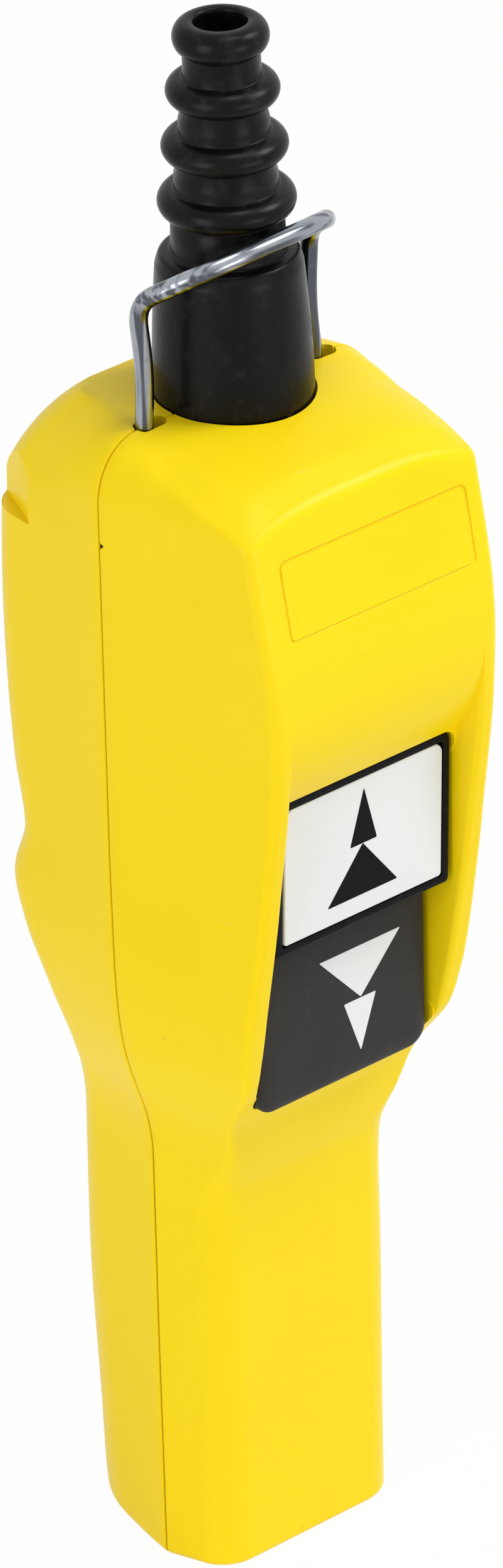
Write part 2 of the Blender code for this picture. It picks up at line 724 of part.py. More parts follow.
def build_bail():
    """The bail sits a little askew in its slots, one leg drawn out further than the other."""
    turn = Matrix.Rotation(math.radians(-BAIL_TILT), 4, "Y")
    seat = Vector((BAIL_SHIFT, 0.0, HEAD_Z))
    return wire("hanger_bail", [turn @ Vector(point) + seat for point in bail_path()], WIRE_RADIUS, ZINC)


def window_edges():
    """Low and high height and half width of the opening that both buttons work in."""
    half = max(UPPER_HALF_WIDTH, LOWER_HALF_WIDTH) + BUTTON_GAP
    return LOWER_BOTTOM_Z - BUTTON_GAP, UPPER_TOP_Z + BUTTON_GAP, half


def channel_cutters():
    """Cutters of the button channel: the window, the drafted walls of the guards and the ramp above."""
    low, high, half = window_edges()
    bottom, top = LOWER_CORNER + BUTTON_GAP, UPPER_CORNER + BUTTON_GAP
    outline = rounded(((half, low, bottom), (half, high, top), (-half, high, top), (-half, low, bottom)), 5)
    window = prism("window_cut", outline, "Y", -CUT_OVERRUN * 3, -LIP_SEAT_DEPTH + 6.0)
    front = RAMP_TOP_DEPTH + 5.0

    def slab(z, depth, half_width):
        wide = half_width + (front - depth) * GUARD_DRAFT
        return [(half_width, -depth, z), (wide, -front, z), (-wide, -front, z), (-half_width, -depth, z)]

    rings = []
    for z in (low, 112.0, 122.0, 134.0, 150.0, 166.0, high):
        floor = mix(LOWER_FACE_DEPTH - 0.8, RAMP_BOTTOM_DEPTH, (z - low) / (high - low))
        crest = along_stations(FRONT_STATIONS, z)[0]
        turn = crest - (0.3 if z == high else GUARD_CHAMFER)
        edge = half + 0.1 + max(turn - floor, 0.0) * GUARD_DRAFT
        turn = max(turn, floor + 0.2)
        wide = edge + (front - turn)
        rings.append([
            (half + 0.1, -floor, z), (edge, -turn, z), (wide, -front, z),
            (-wide, -front, z), (-edge, -turn, z), (-half - 0.1, -floor, z),
        ])
    walls = loft("guard_draft_cut", rings)
    crest_half = half + (RAMP_TOP_Z - high) * RAMP_SPLAY
    ramp = loft("ramp_cut", [
        slab(high - 0.05, RAMP_BOTTOM_DEPTH, half + 0.12), slab(RAMP_TOP_Z, RAMP_TOP_DEPTH, crest_half),
    ])
    return [window, walls, ramp]


def front_keepout():
    """What stays solid at the front round the window, and behind the ramp, when the half is hollowed."""
    low, high, _ = window_edges()
    far = CUT_OVERRUN * 3
    outline = (
        (-far, low - WALL), (-LIP_SEAT_DEPTH, low - WALL), (-LIP_SEAT_DEPTH, high + WALL),
        (-(RAMP_BOTTOM_DEPTH - WALL - 0.4), high + WALL), (-(RAMP_TOP_DEPTH - WALL - 0.6), RAMP_TOP_Z + 1.0),
        (-far, RAMP_TOP_Z + 1.0),
    )
    return prism("window_frame_solid", outline, "X", -CUT_OVERRUN * 3, CUT_OVERRUN * 3)


def bail_ledge(side, front):
    """The block under the top wall that a foot of the bail pulls up against."""
    inner = THROAT_BOSS_RADIUS - 0.6
    lift = (BAIL_HALF_SPREAD + BAIL_FOOT_LENGTH) * math.sin(math.radians(BAIL_TILT))
    low = HEAD_Z - BAIL_FOOT_DROP + WIRE_RADIUS + FIT + lift
    y_low, y_high = (-LEDGE_HALF_DEPTH, CUT_OVERRUN) if front else (-CUT_OVERRUN, LEDGE_HALF_DEPTH)
    x_low, x_high = sorted((side * inner, side * (BODY_HALF_WIDTH + 5.0)))
    return box(f"bail_ledge_{'front' if front else 'rear'}", (x_low, y_low, low), (x_high, y_high, HEAD_Z + 5.0))


def shared_top_cutters():
    """Cutters that pass through both halves: the sleeve's seat and throat, and the slots of the bail."""
    seat = cylinder_z("sleeve_seat_cut", 0.0, 0.0, SLEEVE_SKIRT_RADIUS + FIT, HEAD_Z - SLEEVE_SEAT_DEPTH, HEAD_Z + 9.0)
    throat = cylinder_z("throat_cut", 0.0, 0.0, SLEEVE_NECK_RADIUS + FIT, HEAD_Z - 30.0, HEAD_Z + 5.0)
    slots = []
    half = WIRE_RADIUS + FIT
    for side in (-1.0, 1.0):
        reach = SLOT_LENGTH / 2 - half
        outline = []
        for k in range(13):
            angle = math.radians(-90.0 + 180.0 * k / 12)
            outline.append((side * SLOT_CENTRE + reach + half * math.cos(angle), half * math.sin(angle)))
        for k in range(13):
            angle = math.radians(90.0 + 180.0 * k / 12)
            outline.append((side * SLOT_CENTRE - reach + half * math.cos(angle), half * math.sin(angle)))
        slots.append(prism("bail_slot_cut", outline, "Z", HEAD_Z - 20.0, HEAD_Z + 5.0))
    return [seat, throat, *slots]


def pedestal():
    """The seat of the cable clamp, which stands on the rear wall."""
    low = (-CLAMP_HALF_WIDTH, CLAMP_SEAT_Y, CLAMP_Z - PEDESTAL_HALF_HEIGHT)
    high = (CLAMP_HALF_WIDTH, CUT_OVERRUN * 3, CLAMP_Z + PEDESTAL_HALF_HEIGHT)
    return box("clamp_pedestal", low, high)


def seal_groove():
    depth = SEAL_DEPTH / 2 + FIT
    outline = strip_outline(WALL / 2, SEAL_WIDTH + 2 * FIT, SEAL_TOP_Z + FIT)
    return prism("seal_groove_cut", outline, "Y", -depth, depth)


def build_shells():
    throat_boss = cylinder_z("throat_boss", 0.0, 0.0, THROAT_BOSS_RADIUS, HEAD_Z - THROAT_DEPTH, HEAD_Z + 9.0)
    top_cuts = shared_top_cutters()
    groove = seal_groove()

    cavity = half_solid("front_cavity", True, WALL, CAVITY_LEVELS, 3, 2, -CAVITY_OVERRUN)
    cut(cavity, front_keepout(), throat_boss)
    for side in (-1.0, 1.0):
        cut(cavity, bail_ledge(side, True))
    for x, z in SCREW_PLACES:
        cut(cavity, cylinder_y("front_boss", x, z, FRONT_BOSS_RADIUS, -60.0, CUT_OVERRUN))
    for x, z in CARRIER_SCREWS:
        cut(cavity, cylinder_y("carrier_boss", x, z, SMALL_BOSS_RADIUS, -60.0, -CARRIER_FRONT_DEPTH - FIT))
    front = half_solid("front_shell", True, 0.0, OUTER_LEVELS, 5, 3, PARTING_GAP / 2)
    finish_shell(front)
    cut(front, cavity, *channel_cutters(), *top_cuts, groove)
    for x, z in SCREW_PLACES:
        hole = cylinder_y("front_screw_cut", x, z, SCREW_RADIUS + SCREW_HOLE_GAP, -SCREW_BITE - 0.8, CUT_OVERRUN)
        cut(front, hole)
    for x, z in CARRIER_SCREWS:
        depth = carrier_screw_length() - CARRIER_THICKNESS + CARRIER_FRONT_DEPTH + 0.8
        cut(front, cylinder_y("carrier_screw_cut", x, z, SMALL_SCREW_RADIUS + FIT, -depth, 0.0))

    hollow = half_solid("rear_cavity", False, WALL, CAVITY_LEVELS, 3, 2, -CAVITY_OVERRUN)
    cut(hollow, throat_boss, pedestal())
    for side in (-1.0, 1.0):
        cut(hollow, bail_ledge(side, False))
    for x, z in SCREW_PLACES:
        cut(hollow, cylinder_y("rear_boss", x, z, REAR_BOSS_RADIUS, -CUT_OVERRUN, 60.0))
    rear = half_solid("rear_shell", False, 0.0, OUTER_LEVELS, 5, 3, PARTING_GAP / 2)
    finish_shell(rear)
    cut(rear, hollow, *top_cuts, groove)
    for x, z in SCREW_PLACES:
        cut(rear, cylinder_y("pocket_cut", x, z, POCKET_RADIUS, SCREW_GRIP, 60.0))
        cut(rear, cylinder_y("rear_screw_cut", x, z, SCREW_RADIUS + SCREW_HOLE_GAP, -CUT_OVERRUN, SCREW_GRIP + 1.0))
    cut(rear, cylinder_z("clamp_bore_cut", 0.0, 0.0, CLAMP_BORE, CLAMP_Z - 9.0, CLAMP_Z + 9.0, segments=24))
    for side in (-1.0, 1.0):
        x = side * CLAMP_SCREW_X
        cut(rear, cylinder_y("clamp_screw_cut", x, CLAMP_Z, SMALL_SCREW_RADIUS + FIT, -2.0, CLAMP_SEAT_Y + 9.0))
        cut(rear, corner_relief(side))
    return front, rear


def finish_shell(shell):
    """Moves a half solid from the cutters to the station as a visible piece."""
    CUTTERS.objects.unlink(shell)
    shell.hide_render = False
    shell.display_type = "TEXTURED"
    STATION.objects.link(shell)
    shell.data.materials.append(YELLOW)


def corner_relief(side):
    """A wedge that takes the upper rear corner off in a flat facet."""
    made = box("corner_relief_cut", (0.0, 0.0, 0.0), (20.0, 30.0, RELIEF_HIGH_Z - RELIEF_LOW_Z))
    turn = math.radians(RELIEF_TURN)
    made.location = Vector((side * RELIEF_X, RELIEF_DEPTH, RELIEF_LOW_Z)) * MM
    if side > 0.0:
        made.rotation_euler = (0.0, 0.0, turn)
    else:
        made.rotation_euler = (0.0, 0.0, math.radians(90.0) - turn)
    return made


def carrier_screw_length():
    """Length below the head: through the carrier and 6 mm into the boss."""
    return CARRIER_THICKNESS + 6.0 + FIT


def tilted(made):
    """Turns a mesh about the X axis through its own origin, so that its top comes forward."""
    made.data.transform(Matrix.Rotation(math.radians(UPPER_FACE_TILT), 4, "X"))
    return made


def build_buttons():
    lip_front = -(LIP_SEAT_DEPTH - FIT)
    lip_back = lip_front + LIP_THICKNESS
    low, high, half = window_edges()
    middle = (UPPER_TOP_Z + UPPER_BOTTOM_Z) / 2
    origin = (0.0, -UPPER_FACE_DEPTH, middle)
    w, c = UPPER_HALF_WIDTH, UPPER_CORNER
    outline = rounded(((w, UPPER_BOTTOM_Z, 1.0), (w, UPPER_TOP_Z, c), (-w, UPPER_TOP_Z, c), (-w, UPPER_BOTTOM_Z, 1.0)), 4)
    upper = prism("upper_button", outline, "Y", -UPPER_FACE_DEPTH - 1.0, lip_back, BLACK, origin)
    cut(upper, tilted(box(
        "upper_slope_cut", (-w - 3.0, -UPPER_FACE_DEPTH - 12.0, UPPER_BOTTOM_Z - 8.0),
        (w + 3.0, -UPPER_FACE_DEPTH, UPPER_TOP_Z + 8.0), at=origin,
    )))
    bevel(upper, UPPER_EDGE)
    plate_low = UPPER_BOTTOM_Z + FACE_SIDE_RIM
    plate_high = UPPER_TOP_Z - FACE_TOP_RIM
    plate_half = UPPER_HALF_WIDTH - FACE_SIDE_RIM

    def face_outline(grow):
        x = plate_half + grow
        return rounded((
            (x, plate_low - grow, 0.6), (x, plate_high + grow, c - 0.8),
            (-x, plate_high + grow, c - 0.8), (-x, plate_low - grow, 0.6),
        ), 3)

    face_back = -UPPER_FACE_DEPTH + FACE_THICKNESS - 0.2
    front, back = -UPPER_FACE_DEPTH - 5.0, face_back + FIT
    recess = tilted(prism("face_recess_cut", face_outline(FIT), "Y", front, back, at=origin))
    face = prism("upper_button_face", face_outline(0.0), "Y", face_back - FACE_THICKNESS, face_back, WHITE, origin)
    bevel(tilted(face), 0.25, 1)
    underside = face_back + FIT + 1.6
    inner = UPPER_HALF_WIDTH - BUTTON_WALL
    hollow = box(
        "upper_hollow_cut", (-inner, underside, UPPER_BOTTOM_Z + BUTTON_WALL),
        (inner, lip_back + 5.0, UPPER_TOP_Z - BUTTON_WALL),
    )
    lip = box("upper_lip", (-half - LIP_REACH, lip_front, UPPER_BOTTOM_Z + 1.2), (half + LIP_REACH, lip_back, high + LIP_REACH))
    stem = cylinder_y("upper_stem", 0.0, middle, STEM_RADIUS, underside - 0.5, -STEM_END_DEPTH)
    cut(upper, lip, join=True)
    cut(upper, hollow)
    cut(upper, stem, join=True)
    cut(upper, recess)

    w, c = LOWER_HALF_WIDTH, LOWER_CORNER
    lower_middle = (LOWER_TOP_Z + LOWER_BOTTOM_Z) / 2
    lower_origin = (0.0, -LOWER_FACE_DEPTH, lower_middle)
    outline = rounded(((w, LOWER_BOTTOM_Z, c), (w, LOWER_TOP_Z, 1.0), (-w, LOWER_TOP_Z, 1.0), (-w, LOWER_BOTTOM_Z, c)), 5)
    lower = prism("lower_button", outline, "Y", -LOWER_FACE_DEPTH, lip_back, CHARCOAL, lower_origin)
    bevel(lower, LOWER_EDGE, 3)
    lower_underside = -LOWER_FACE_DEPTH + 2.5
    inner = LOWER_HALF_WIDTH - BUTTON_WALL
    hollow = box(
        "lower_hollow_cut", (-inner, lower_underside, LOWER_BOTTOM_Z + BUTTON_WALL + 2.0),
        (inner, lip_back + 5.0, LOWER_TOP_Z - BUTTON_WALL),
    )
    reach, foot = half + LIP_REACH, LOWER_LIP_FOOT
    lip = prism("lower_lip", (
        (foot, low - LIP_REACH), (reach, low + LOWER_LIP_RISE), (reach, LOWER_TOP_Z - 1.2),
        (-reach, LOWER_TOP_Z - 1.2), (-reach, low + LOWER_LIP_RISE), (-foot, low - LIP_REACH),
    ), "Y", lip_front, lip_back)
    stem = cylinder_y("lower_stem", 0.0, lower_middle, STEM_RADIUS, lower_underside - 0.5, -STEM_END_DEPTH)
    cut(lower, lip, join=True)
    cut(lower, hollow)
    cut(lower, stem, join=True)
    return (("upper", middle, underside), ("lower", lower_middle, lower_underside))


def build_works(buttons):
    """What is behind each button: spring, boot, plunger, contact block with its terminals."""
    block_front = -CARRIER_FRONT_DEPTH + CARRIER_THICKNESS + FIT
    block_back = block_front + BLOCK_LENGTH
    terminal_screw = screw_mesh(1.5, 2.4, 1.8, 6.0, segments=12)
    for name, z, underside in buttons:
        build_spring(f"{name}_spring", z, underside + FIT, -CARRIER_FRONT_DEPTH - FIT)
        build_boot(f"{name}_boot", z, underside + FIT, -CARRIER_FRONT_DEPTH - FIT)
        start = -STEM_END_DEPTH + FIT
        cylinder_y(
            f"{name}_plunger", 0.0, z, PLUNGER_RADIUS, start, start + PLUNGER_LENGTH, WHITE, 16,
            at=(0.0, start, z),
        )
        block = box(
            f"{name}_contact_block", (-BLOCK_HALF_WIDTH, block_front, z - BLOCK_HALF_HEIGHT),
            (BLOCK_HALF_WIDTH, block_back, z + BLOCK_HALF_HEIGHT), GREY,
        )
        bevel(block, 0.6, 1)
        well = start + PLUNGER_LENGTH + BUTTON_TRAVEL + 0.6
        cut(block, cylinder_y("plunger_well_cut", 0.0, z, PLUNGER_RADIUS + FIT, block_front - 5.0, well, segments=16))
        ledge = block_back - BLOCK_LEDGE
        for side in (-1.0, 1.0):
            x_low, x_high = sorted((side * BLOCK_SPINE_HALF_WIDTH, side * (BLOCK_HALF_WIDTH + 3.0)))
            cut(block, box(
                "terminal_ledge_cut", (x_low, ledge, z - BLOCK_HALF_HEIGHT - 3.0),
                (x_high, block_back + 5.0, z + BLOCK_HALF_HEIGHT + 3.0),
            ))
            x = side * TERMINAL_OFFSET
            cut(block, cylinder_y("terminal_screw_cut", x, z, 1.8, ledge - 6.0, ledge + 1.0, segments=12))
            edge = "left" if side < 0.0 else "right"
            plate = box(
                f"{name}_terminal_{edge}", (x - TERMINAL_HALF_WIDTH, ledge + FIT, z - TERMINAL_HALF_HEIGHT),
                (x + TERMINAL_HALF_WIDTH, ledge + FIT + TERMINAL_THICKNESS, z + TERMINAL_HALF_HEIGHT), BRASS,
            )
            cut(plate, cylinder_y("terminal_hole_cut", x, z, 1.8, ledge - 1.0, ledge + 4.0, segments=12))
            seat = ledge + 2 * FIT + TERMINAL_THICKNESS
            place_screw(f"{name}_terminal_screw_{edge}", terminal_screw, x, seat, z, BRASS)
            top = z + side * (BLOCK_HALF_HEIGHT - CLIP_NOSE)
            z_low, z_high = sorted((top, z + side * (BLOCK_HALF_HEIGHT + 3.0)))
            nose = block_front + CLIP_LENGTH - 2.3
            cut(block, box(
                "clip_notch_cut", (-CLIP_HALF_WIDTH - FIT, nose - FIT, z_low),
                (CLIP_HALF_WIDTH + FIT, nose + 2.0 + FIT, z_high),
            ))


def build_spring(name, z, front, back):
    """A compression spring along Y between the button and the carrier, with closed ends."""
    turns = 5.0
    steps = 12
    start = front + SPRING_WIRE_RADIUS
    end = back - SPRING_WIRE_RADIUS
    points = []
    total = int(turns * steps)
    for k in range(total + 1):
        angle = 2 * math.pi * k / steps
        share = k / total
        along = smooth_step(0.0, 1.0, share) * 0.35 + share * 0.65
        points.append((
            SPRING_RADIUS * math.cos(angle), mix(start, end, along), z + SPRING_RADIUS * math.sin(angle),
        ))
    return wire(name, points, SPRING_WIRE_RADIUS, ZINC, (0.0, front, z), 1)


def build_boot(name, z, front, back):
    """A rubber bellows round the spring, from the carrier to the underside of the button."""
    folds = 3 if back - front > 14.0 else 2
    length = back - front
    outer = []
    count = folds * 4
    for k in range(count + 1):
        share = k / count
        swell = BOOT_FOLD * (0.5 - 0.5 * math.cos(2 * math.pi * folds * share))
        outer.append((BOOT_RADIUS + swell, share * length))
    inner = [(radius - BOOT_WALL, along) for radius, along in outer[::-1]]
    profile = [(radius, length - along) for radius, along in outer + inner]
    made = turned(name, profile, "Y", RUBBER, 18, (0.0, back, z))
    return made


def build_carrier(buttons):
    front = -CARRIER_FRONT_DEPTH
    back = front + CARRIER_THICKNESS
    w, foot = CARRIER_HALF_WIDTH, CARRIER_FOOT_HALF_WIDTH
    shoulder_low = CARRIER_BOTTOM_Z + 8.0
    shoulder_high = CARRIER_BOTTOM_Z + 16.0
    outline = rounded((
        (foot, CARRIER_BOTTOM_Z, 2.0), (foot, shoulder_low, 0.0), (w, shoulder_high, 0.0), (w, CARRIER_TOP_Z, 3.0),
        (-w, CARRIER_TOP_Z, 3.0), (-w, shoulder_high, 0.0), (-foot, shoulder_low, 0.0),
        (-foot, CARRIER_BOTTOM_Z, 2.0),
    ), 3)
    carrier = prism("contact_carrier", outline, "Y", front, back, BLACK)
    for _, z, _ in buttons:
        collar = cylinder_y("guide_collar", 0.0, z, STEM_RADIUS + FIT + GUIDE_WALL, front - GUIDE_LENGTH, back - 0.5)
        cut(carrier, collar, join=True)
        for side in (-1.0, 1.0):
            z_low, z_high = sorted((
                z + side * (BLOCK_HALF_HEIGHT + FIT), z + side * (BLOCK_HALF_HEIGHT + FIT + CLIP_THICKNESS),
            ))
            arm = box("clip_arm", (-CLIP_HALF_WIDTH, back - 1.0, z_low), (CLIP_HALF_WIDTH, back + CLIP_LENGTH, z_high))
            z_low, z_high = sorted((
                z + side * (BLOCK_HALF_HEIGHT + FIT - CLIP_NOSE), z + side * (BLOCK_HALF_HEIGHT + FIT + 0.8),
            ))
            nose = back + CLIP_LENGTH
            catch = box("clip_nose", (-CLIP_HALF_WIDTH, nose - 2.0, z_low), (CLIP_HALF_WIDTH, nose, z_high))
            cut(carrier, arm, catch, join=True)
        cut(carrier, cylinder_y("stem_cut", 0.0, z, STEM_RADIUS + FIT, front - CUT_OVERRUN, back + 5.0))
    small = screw_mesh(SMALL_SCREW_RADIUS, SMALL_HEAD_RADIUS, SMALL_HEAD_HEIGHT, carrier_screw_length(), 12)
    for number, (x, z) in enumerate(CARRIER_SCREWS, 1):
        cut(carrier, cylinder_y("carrier_hole_cut", x, z, SMALL_SCREW_RADIUS + FIT, front - 2.0, back + 2.0, segments=12))
        place_screw(f"carrier_screw_{number}", small, x, back + FIT, z, ZINC)
    return carrier


def build_clamp():
    """The bridge that holds the cable jacket against the pedestal, and its two screws."""
    outer = CLAMP_BORE + CLAMP_ARCH
    back = CLAMP_SEAT_Y - FIT
    front = back - CLAMP_EAR
    arch = []
    for k in range(13):
        angle = math.radians(180.0 * k / 12)
        arch.append((outer * math.cos(angle), -outer * math.sin(angle)))
    arch = [point for point in arch if point[1] < front]
    bore = []
    for k in range(13):
        angle = math.radians(180.0 - 180.0 * k / 12)
        bore.append((CLAMP_BORE * math.cos(angle), -CLAMP_BORE * math.sin(angle)))
    outline = [
        (CLAMP_HALF_WIDTH, back), (CLAMP_HALF_WIDTH, front), (arch[0][0], front), *arch, (arch[-1][0], front),
        (-CLAMP_HALF_WIDTH, front), (-CLAMP_HALF_WIDTH, back), (-CLAMP_BORE, back), *bore, (CLAMP_BORE, back),
    ]
    outline = list(dict.fromkeys((round(x, 4), round(y, 4)) for x, y in outline))
    clamp = prism("cable_clamp", outline, "Z", CLAMP_Z - CLAMP_HALF_HEIGHT, CLAMP_Z + CLAMP_HALF_HEIGHT, BLACK)
    mesh = screw_mesh(SMALL_SCREW_RADIUS, SMALL_HEAD_RADIUS, SMALL_HEAD_HEIGHT, CLAMP_EAR + 8.0, 12)
    for number, side in enumerate((-1.0, 1.0), 1):
        x = side * CLAMP_SCREW_X
        cut(clamp, cylinder_y("clamp_hole_cut", x, CLAMP_Z, SMALL_SCREW_RADIUS + FIT, front - 2.0, back + 2.0, segments=12))
        place_screw(f"clamp_screw_{number}", mesh, x, front - FIT, CLAMP_Z, ZINC, from_front=True)
    return clamp


def build_housing_screws():
    mesh = screw_mesh(
        SCREW_RADIUS, SCREW_HEAD_RADIUS, SCREW_HEAD_HEIGHT, SCREW_GRIP + FIT + SCREW_BITE, 16,
    )
    for number, (x, z) in enumerate(SCREW_PLACES, 1):
        place_screw(f"housing_screw_{number}", mesh, x, SCREW_GRIP + FIT, z, ZINC)


def build_seal():
    outline = strip_outline(WALL / 2, SEAL_WIDTH, SEAL_TOP_Z)
    return prism("housing_seal", outline, "Y", -SEAL_DEPTH / 2, SEAL_DEPTH / 2, RUBBER)


def main():
    build_shells()
    buttons = build_buttons()
    build_carrier(buttons)
    build_works(buttons)
    build_sleeve()
    build_bail()
    build_clamp()
    build_housing_screws()
    build_seal()


main()
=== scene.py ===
# %% [markdown]
# A hand-held hoist control station hangs from its cable above the floor of a workshop. A thumb works two
# buttons between guard walls. The housing is two yellow half shells with a fine moulded surface. A stepped
# rubber sleeve takes the cable in at the top, and a bent wire bail takes the weight off it.
# This lesson dresses the CAD model: it rebuilds each visible part as a finer surface in the same place, and
# gives every part a material of its own. The first step is to load the CAD model, which is never moved.

# %% Load the frame
import json
import math

import bmesh
import bpy
import numpy as np
from mathutils import Matrix, Vector


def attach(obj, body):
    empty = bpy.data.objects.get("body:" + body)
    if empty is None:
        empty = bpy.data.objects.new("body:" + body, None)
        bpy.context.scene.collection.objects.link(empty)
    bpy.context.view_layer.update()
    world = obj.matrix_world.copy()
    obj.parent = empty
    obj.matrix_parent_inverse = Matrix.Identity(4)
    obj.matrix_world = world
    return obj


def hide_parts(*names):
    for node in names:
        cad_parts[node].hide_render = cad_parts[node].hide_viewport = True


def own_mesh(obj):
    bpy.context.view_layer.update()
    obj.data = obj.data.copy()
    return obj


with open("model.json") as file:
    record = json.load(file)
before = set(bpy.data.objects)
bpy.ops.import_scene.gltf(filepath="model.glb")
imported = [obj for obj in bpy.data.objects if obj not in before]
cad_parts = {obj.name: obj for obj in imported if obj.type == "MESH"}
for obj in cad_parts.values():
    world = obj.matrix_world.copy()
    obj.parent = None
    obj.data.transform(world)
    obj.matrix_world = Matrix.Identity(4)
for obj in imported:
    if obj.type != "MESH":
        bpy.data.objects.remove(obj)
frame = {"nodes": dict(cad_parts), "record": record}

MM = 0.001
for stray in ("Cube", "Light", "Camera"):
    if stray in bpy.data.objects:
        bpy.data.objects.remove(bpy.data.objects[stray])
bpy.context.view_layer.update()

# %% [markdown]
# Shader sums are easier to read as arithmetic. A Value wraps one node socket, and each operator on it adds
# the Math node that does the same sum. The other nodes all come from one method of a node tree, which takes
# the node's type, its settings and what goes into its sockets.

# %% Arithmetic on shader sockets


class Value:
    """One output of a shader node: sums, differences and products of it are Math nodes."""

    def __init__(self, tree, socket):
        self.tree = tree
        self.socket = socket

    def maths(self, operation, first, second):
        return self.tree.node("ShaderNodeMath", {"operation": operation}, {0: first, 1: second}).value()

    def __add__(self, other):
        return self.maths("ADD", self, other)

    def __radd__(self, other):
        return self.maths("ADD", other, self)

    def __rsub__(self, other):
        return self.maths("SUBTRACT", other, self)

    def __mul__(self, other):
        return self.maths("MULTIPLY", self, other)

    def __rmul__(self, other):
        return self.maths("MULTIPLY", other, self)

    def over(self, edge, soft):
        """0 below the edge, 1 above it, eased over the given width."""
        return self.tree.node(
            "ShaderNodeMapRange", {"interpolation_type": "SMOOTHSTEP"},
            {"Value": self, "From Min": edge - soft, "From Max": edge + soft},
        ).value()


class Node:
    """A shader node that was just added; `value` gives one of its outputs."""

    def __init__(self, tree, added):
        self.tree = tree
        self.added = added

    def value(self, key=0):
        sockets = self.added.outputs
        return Value(self.tree, sockets[key] if isinstance(key, int) else self.tree.find(sockets, key))


class Tree:
    """The node tree of a material or of the world, whose nodes are added one by one."""

    def __init__(self, made):
        made.use_nodes = True
        self.made = made
        self.nodes = made.node_tree.nodes
        self.links = made.node_tree.links

    def node(self, kind, settings=None, inputs=None):
        """Adds a node of a kind: settings first, then values and links of its sockets."""
        added = self.nodes.new(kind)
        for setting, choice in (settings or {}).items():
            setattr(added, setting, choice)
        for key, entry in (inputs or {}).items():
            self.feed(added.inputs[key] if isinstance(key, int) else self.find(added.inputs, key), entry)
        return Node(self, added)

    def find(self, sockets, key):
        for socket in sockets:
            if socket.identifier == key:
                return socket
        for socket in sockets:
            if socket.name == key and socket.enabled:
                return socket
        raise KeyError(key)

    def feed(self, socket, entry):
        if isinstance(entry, Node):
            entry = entry.value()
        if isinstance(entry, Value):
            self.links.new(entry.socket, socket)
        elif isinstance(entry, tuple) and len(entry) == 3 and socket.type == "RGBA":
            socket.default_value = (*entry, 1.0)
        else:
            socket.default_value = entry


class Finish(Tree):
    """A new material; `made` is the Blender material and `shader` its Principled BSDF."""

    def __init__(self, name, uniform=None):
        super().__init__(bpy.data.materials.new(name))
        self.shader = self.nodes["Principled BSDF"]
        for socket, number in (uniform or {}).items():
            self.shader.inputs[socket].default_value = number

    def set(self, **sockets):
        """Feeds the shader's own sockets; an underscore in a name stands for a space."""
        for key, entry in sockets.items():
            self.feed(self.find(self.shader.inputs, key.replace("_", " ")), entry)
        return self

    def place(self):
        """Object coordinates, in metres from the middle of the base of the grip."""
        return self.node("ShaderNodeTexCoord").value("Object")

    def height(self):
        """The Z of the object coordinates."""
        return self.node("ShaderNodeSeparateXYZ", {}, {"Vector": self.place()}).value("Z")

    def stretched(self, scale):
        """Object coordinates stretched by a scale for each axis."""
        return self.node("ShaderNodeMapping", {}, {"Vector": self.place(), "Scale": scale}).value()

    def noise(self, scale, detail=2.0, rough=0.5, vector=None):
        """Soft random noise from 0 to 1; the scale is in blobs per metre."""
        return self.node("ShaderNodeTexNoise", {}, {
            "Vector": vector or self.place(), "Scale": scale, "Detail": detail, "Roughness": rough,
        }).value(0)

    def blend(self, share, first, second):
        """The first colour where the share is 0 and the second where it is 1."""
        return self.node("ShaderNodeMix", {"data_type": "RGBA"}, {
            "Factor_Float": share, "A_Color": first, "B_Color": second,
        }).value("Result_Color")

    def grain(self, height, depth, before=None):
        """A Bump node: `height` from 0 to 1 stands for `depth` metres."""
        inputs = {"Height": height, "Distance": depth, "Strength": 1.0}
        if before is not None:
            inputs["Normal"] = before
        return self.node("ShaderNodeBump", {}, inputs).value()


print("operators of a Value: + - * and over")

# %% [markdown]
# The housing is injection-moulded polypropylene, coloured right through. Its mould was spark-eroded, so the
# skin has a fine satin grain that spreads every reflection. Handling polishes it a little, dust dulls it in
# patches, and a few short rub marks run across the grip. The colour hardly changes, so the life of this
# surface is in its roughness and its bump.

# %% Yellow moulding


def yellow_moulding():
    finish = Finish("yellow polypropylene", {"Specular IOR Level": 0.15})
    patches = finish.noise(22.0, 3.0)
    cloud = finish.noise(9.0, 2.0)
    deep, plain, pale = (0.93, 0.63, 0.0), (0.975, 0.705, 0.0), (0.985, 0.74, 0.012)
    colour = finish.blend(cloud.over(0.5, 0.35), plain, pale)
    colour = finish.blend(patches.over(0.68, 0.18) * 0.45, colour, deep)
    specks = finish.noise(620.0, 0.0).over(0.86, 0.01) * finish.noise(26.0, 1.0).over(0.66, 0.06)
    colour = finish.blend(specks * 0.22, colour, (0.42, 0.27, 0.02))
    rubs = finish.noise(60.0, 4.0, 0.6, finish.stretched((1.0, 1.0, 22.0)))
    rubs = rubs.over(0.69, 0.03) * finish.noise(14.0, 1.0).over(0.6, 0.1)
    colour = finish.blend(rubs * 0.25, colour, (0.99, 0.84, 0.2))
    rough = 0.31 + patches * 0.07 + rubs * 0.12
    spark = finish.noise(2600.0, 2.0)
    peel = finish.noise(420.0, 1.0)
    bumped = finish.grain(spark, 0.000012)
    bumped = finish.grain(peel, 0.000018, bumped)
    bumped = finish.grain(rubs, -0.00001, bumped)
    return finish.set(Base_Color=colour, Roughness=rough, Normal=bumped).made


YELLOW = yellow_moulding()
print("made", YELLOW.name)

# %% [markdown]
# The sleeve is black rubber from a turned mould. It has a soft sheen, greyer on its high edges where it has
# rubbed against things, and faint rings where the mould was turned. The seal and the bellows inside are the
# same kind of rubber without the wear.

# %% Black rubber


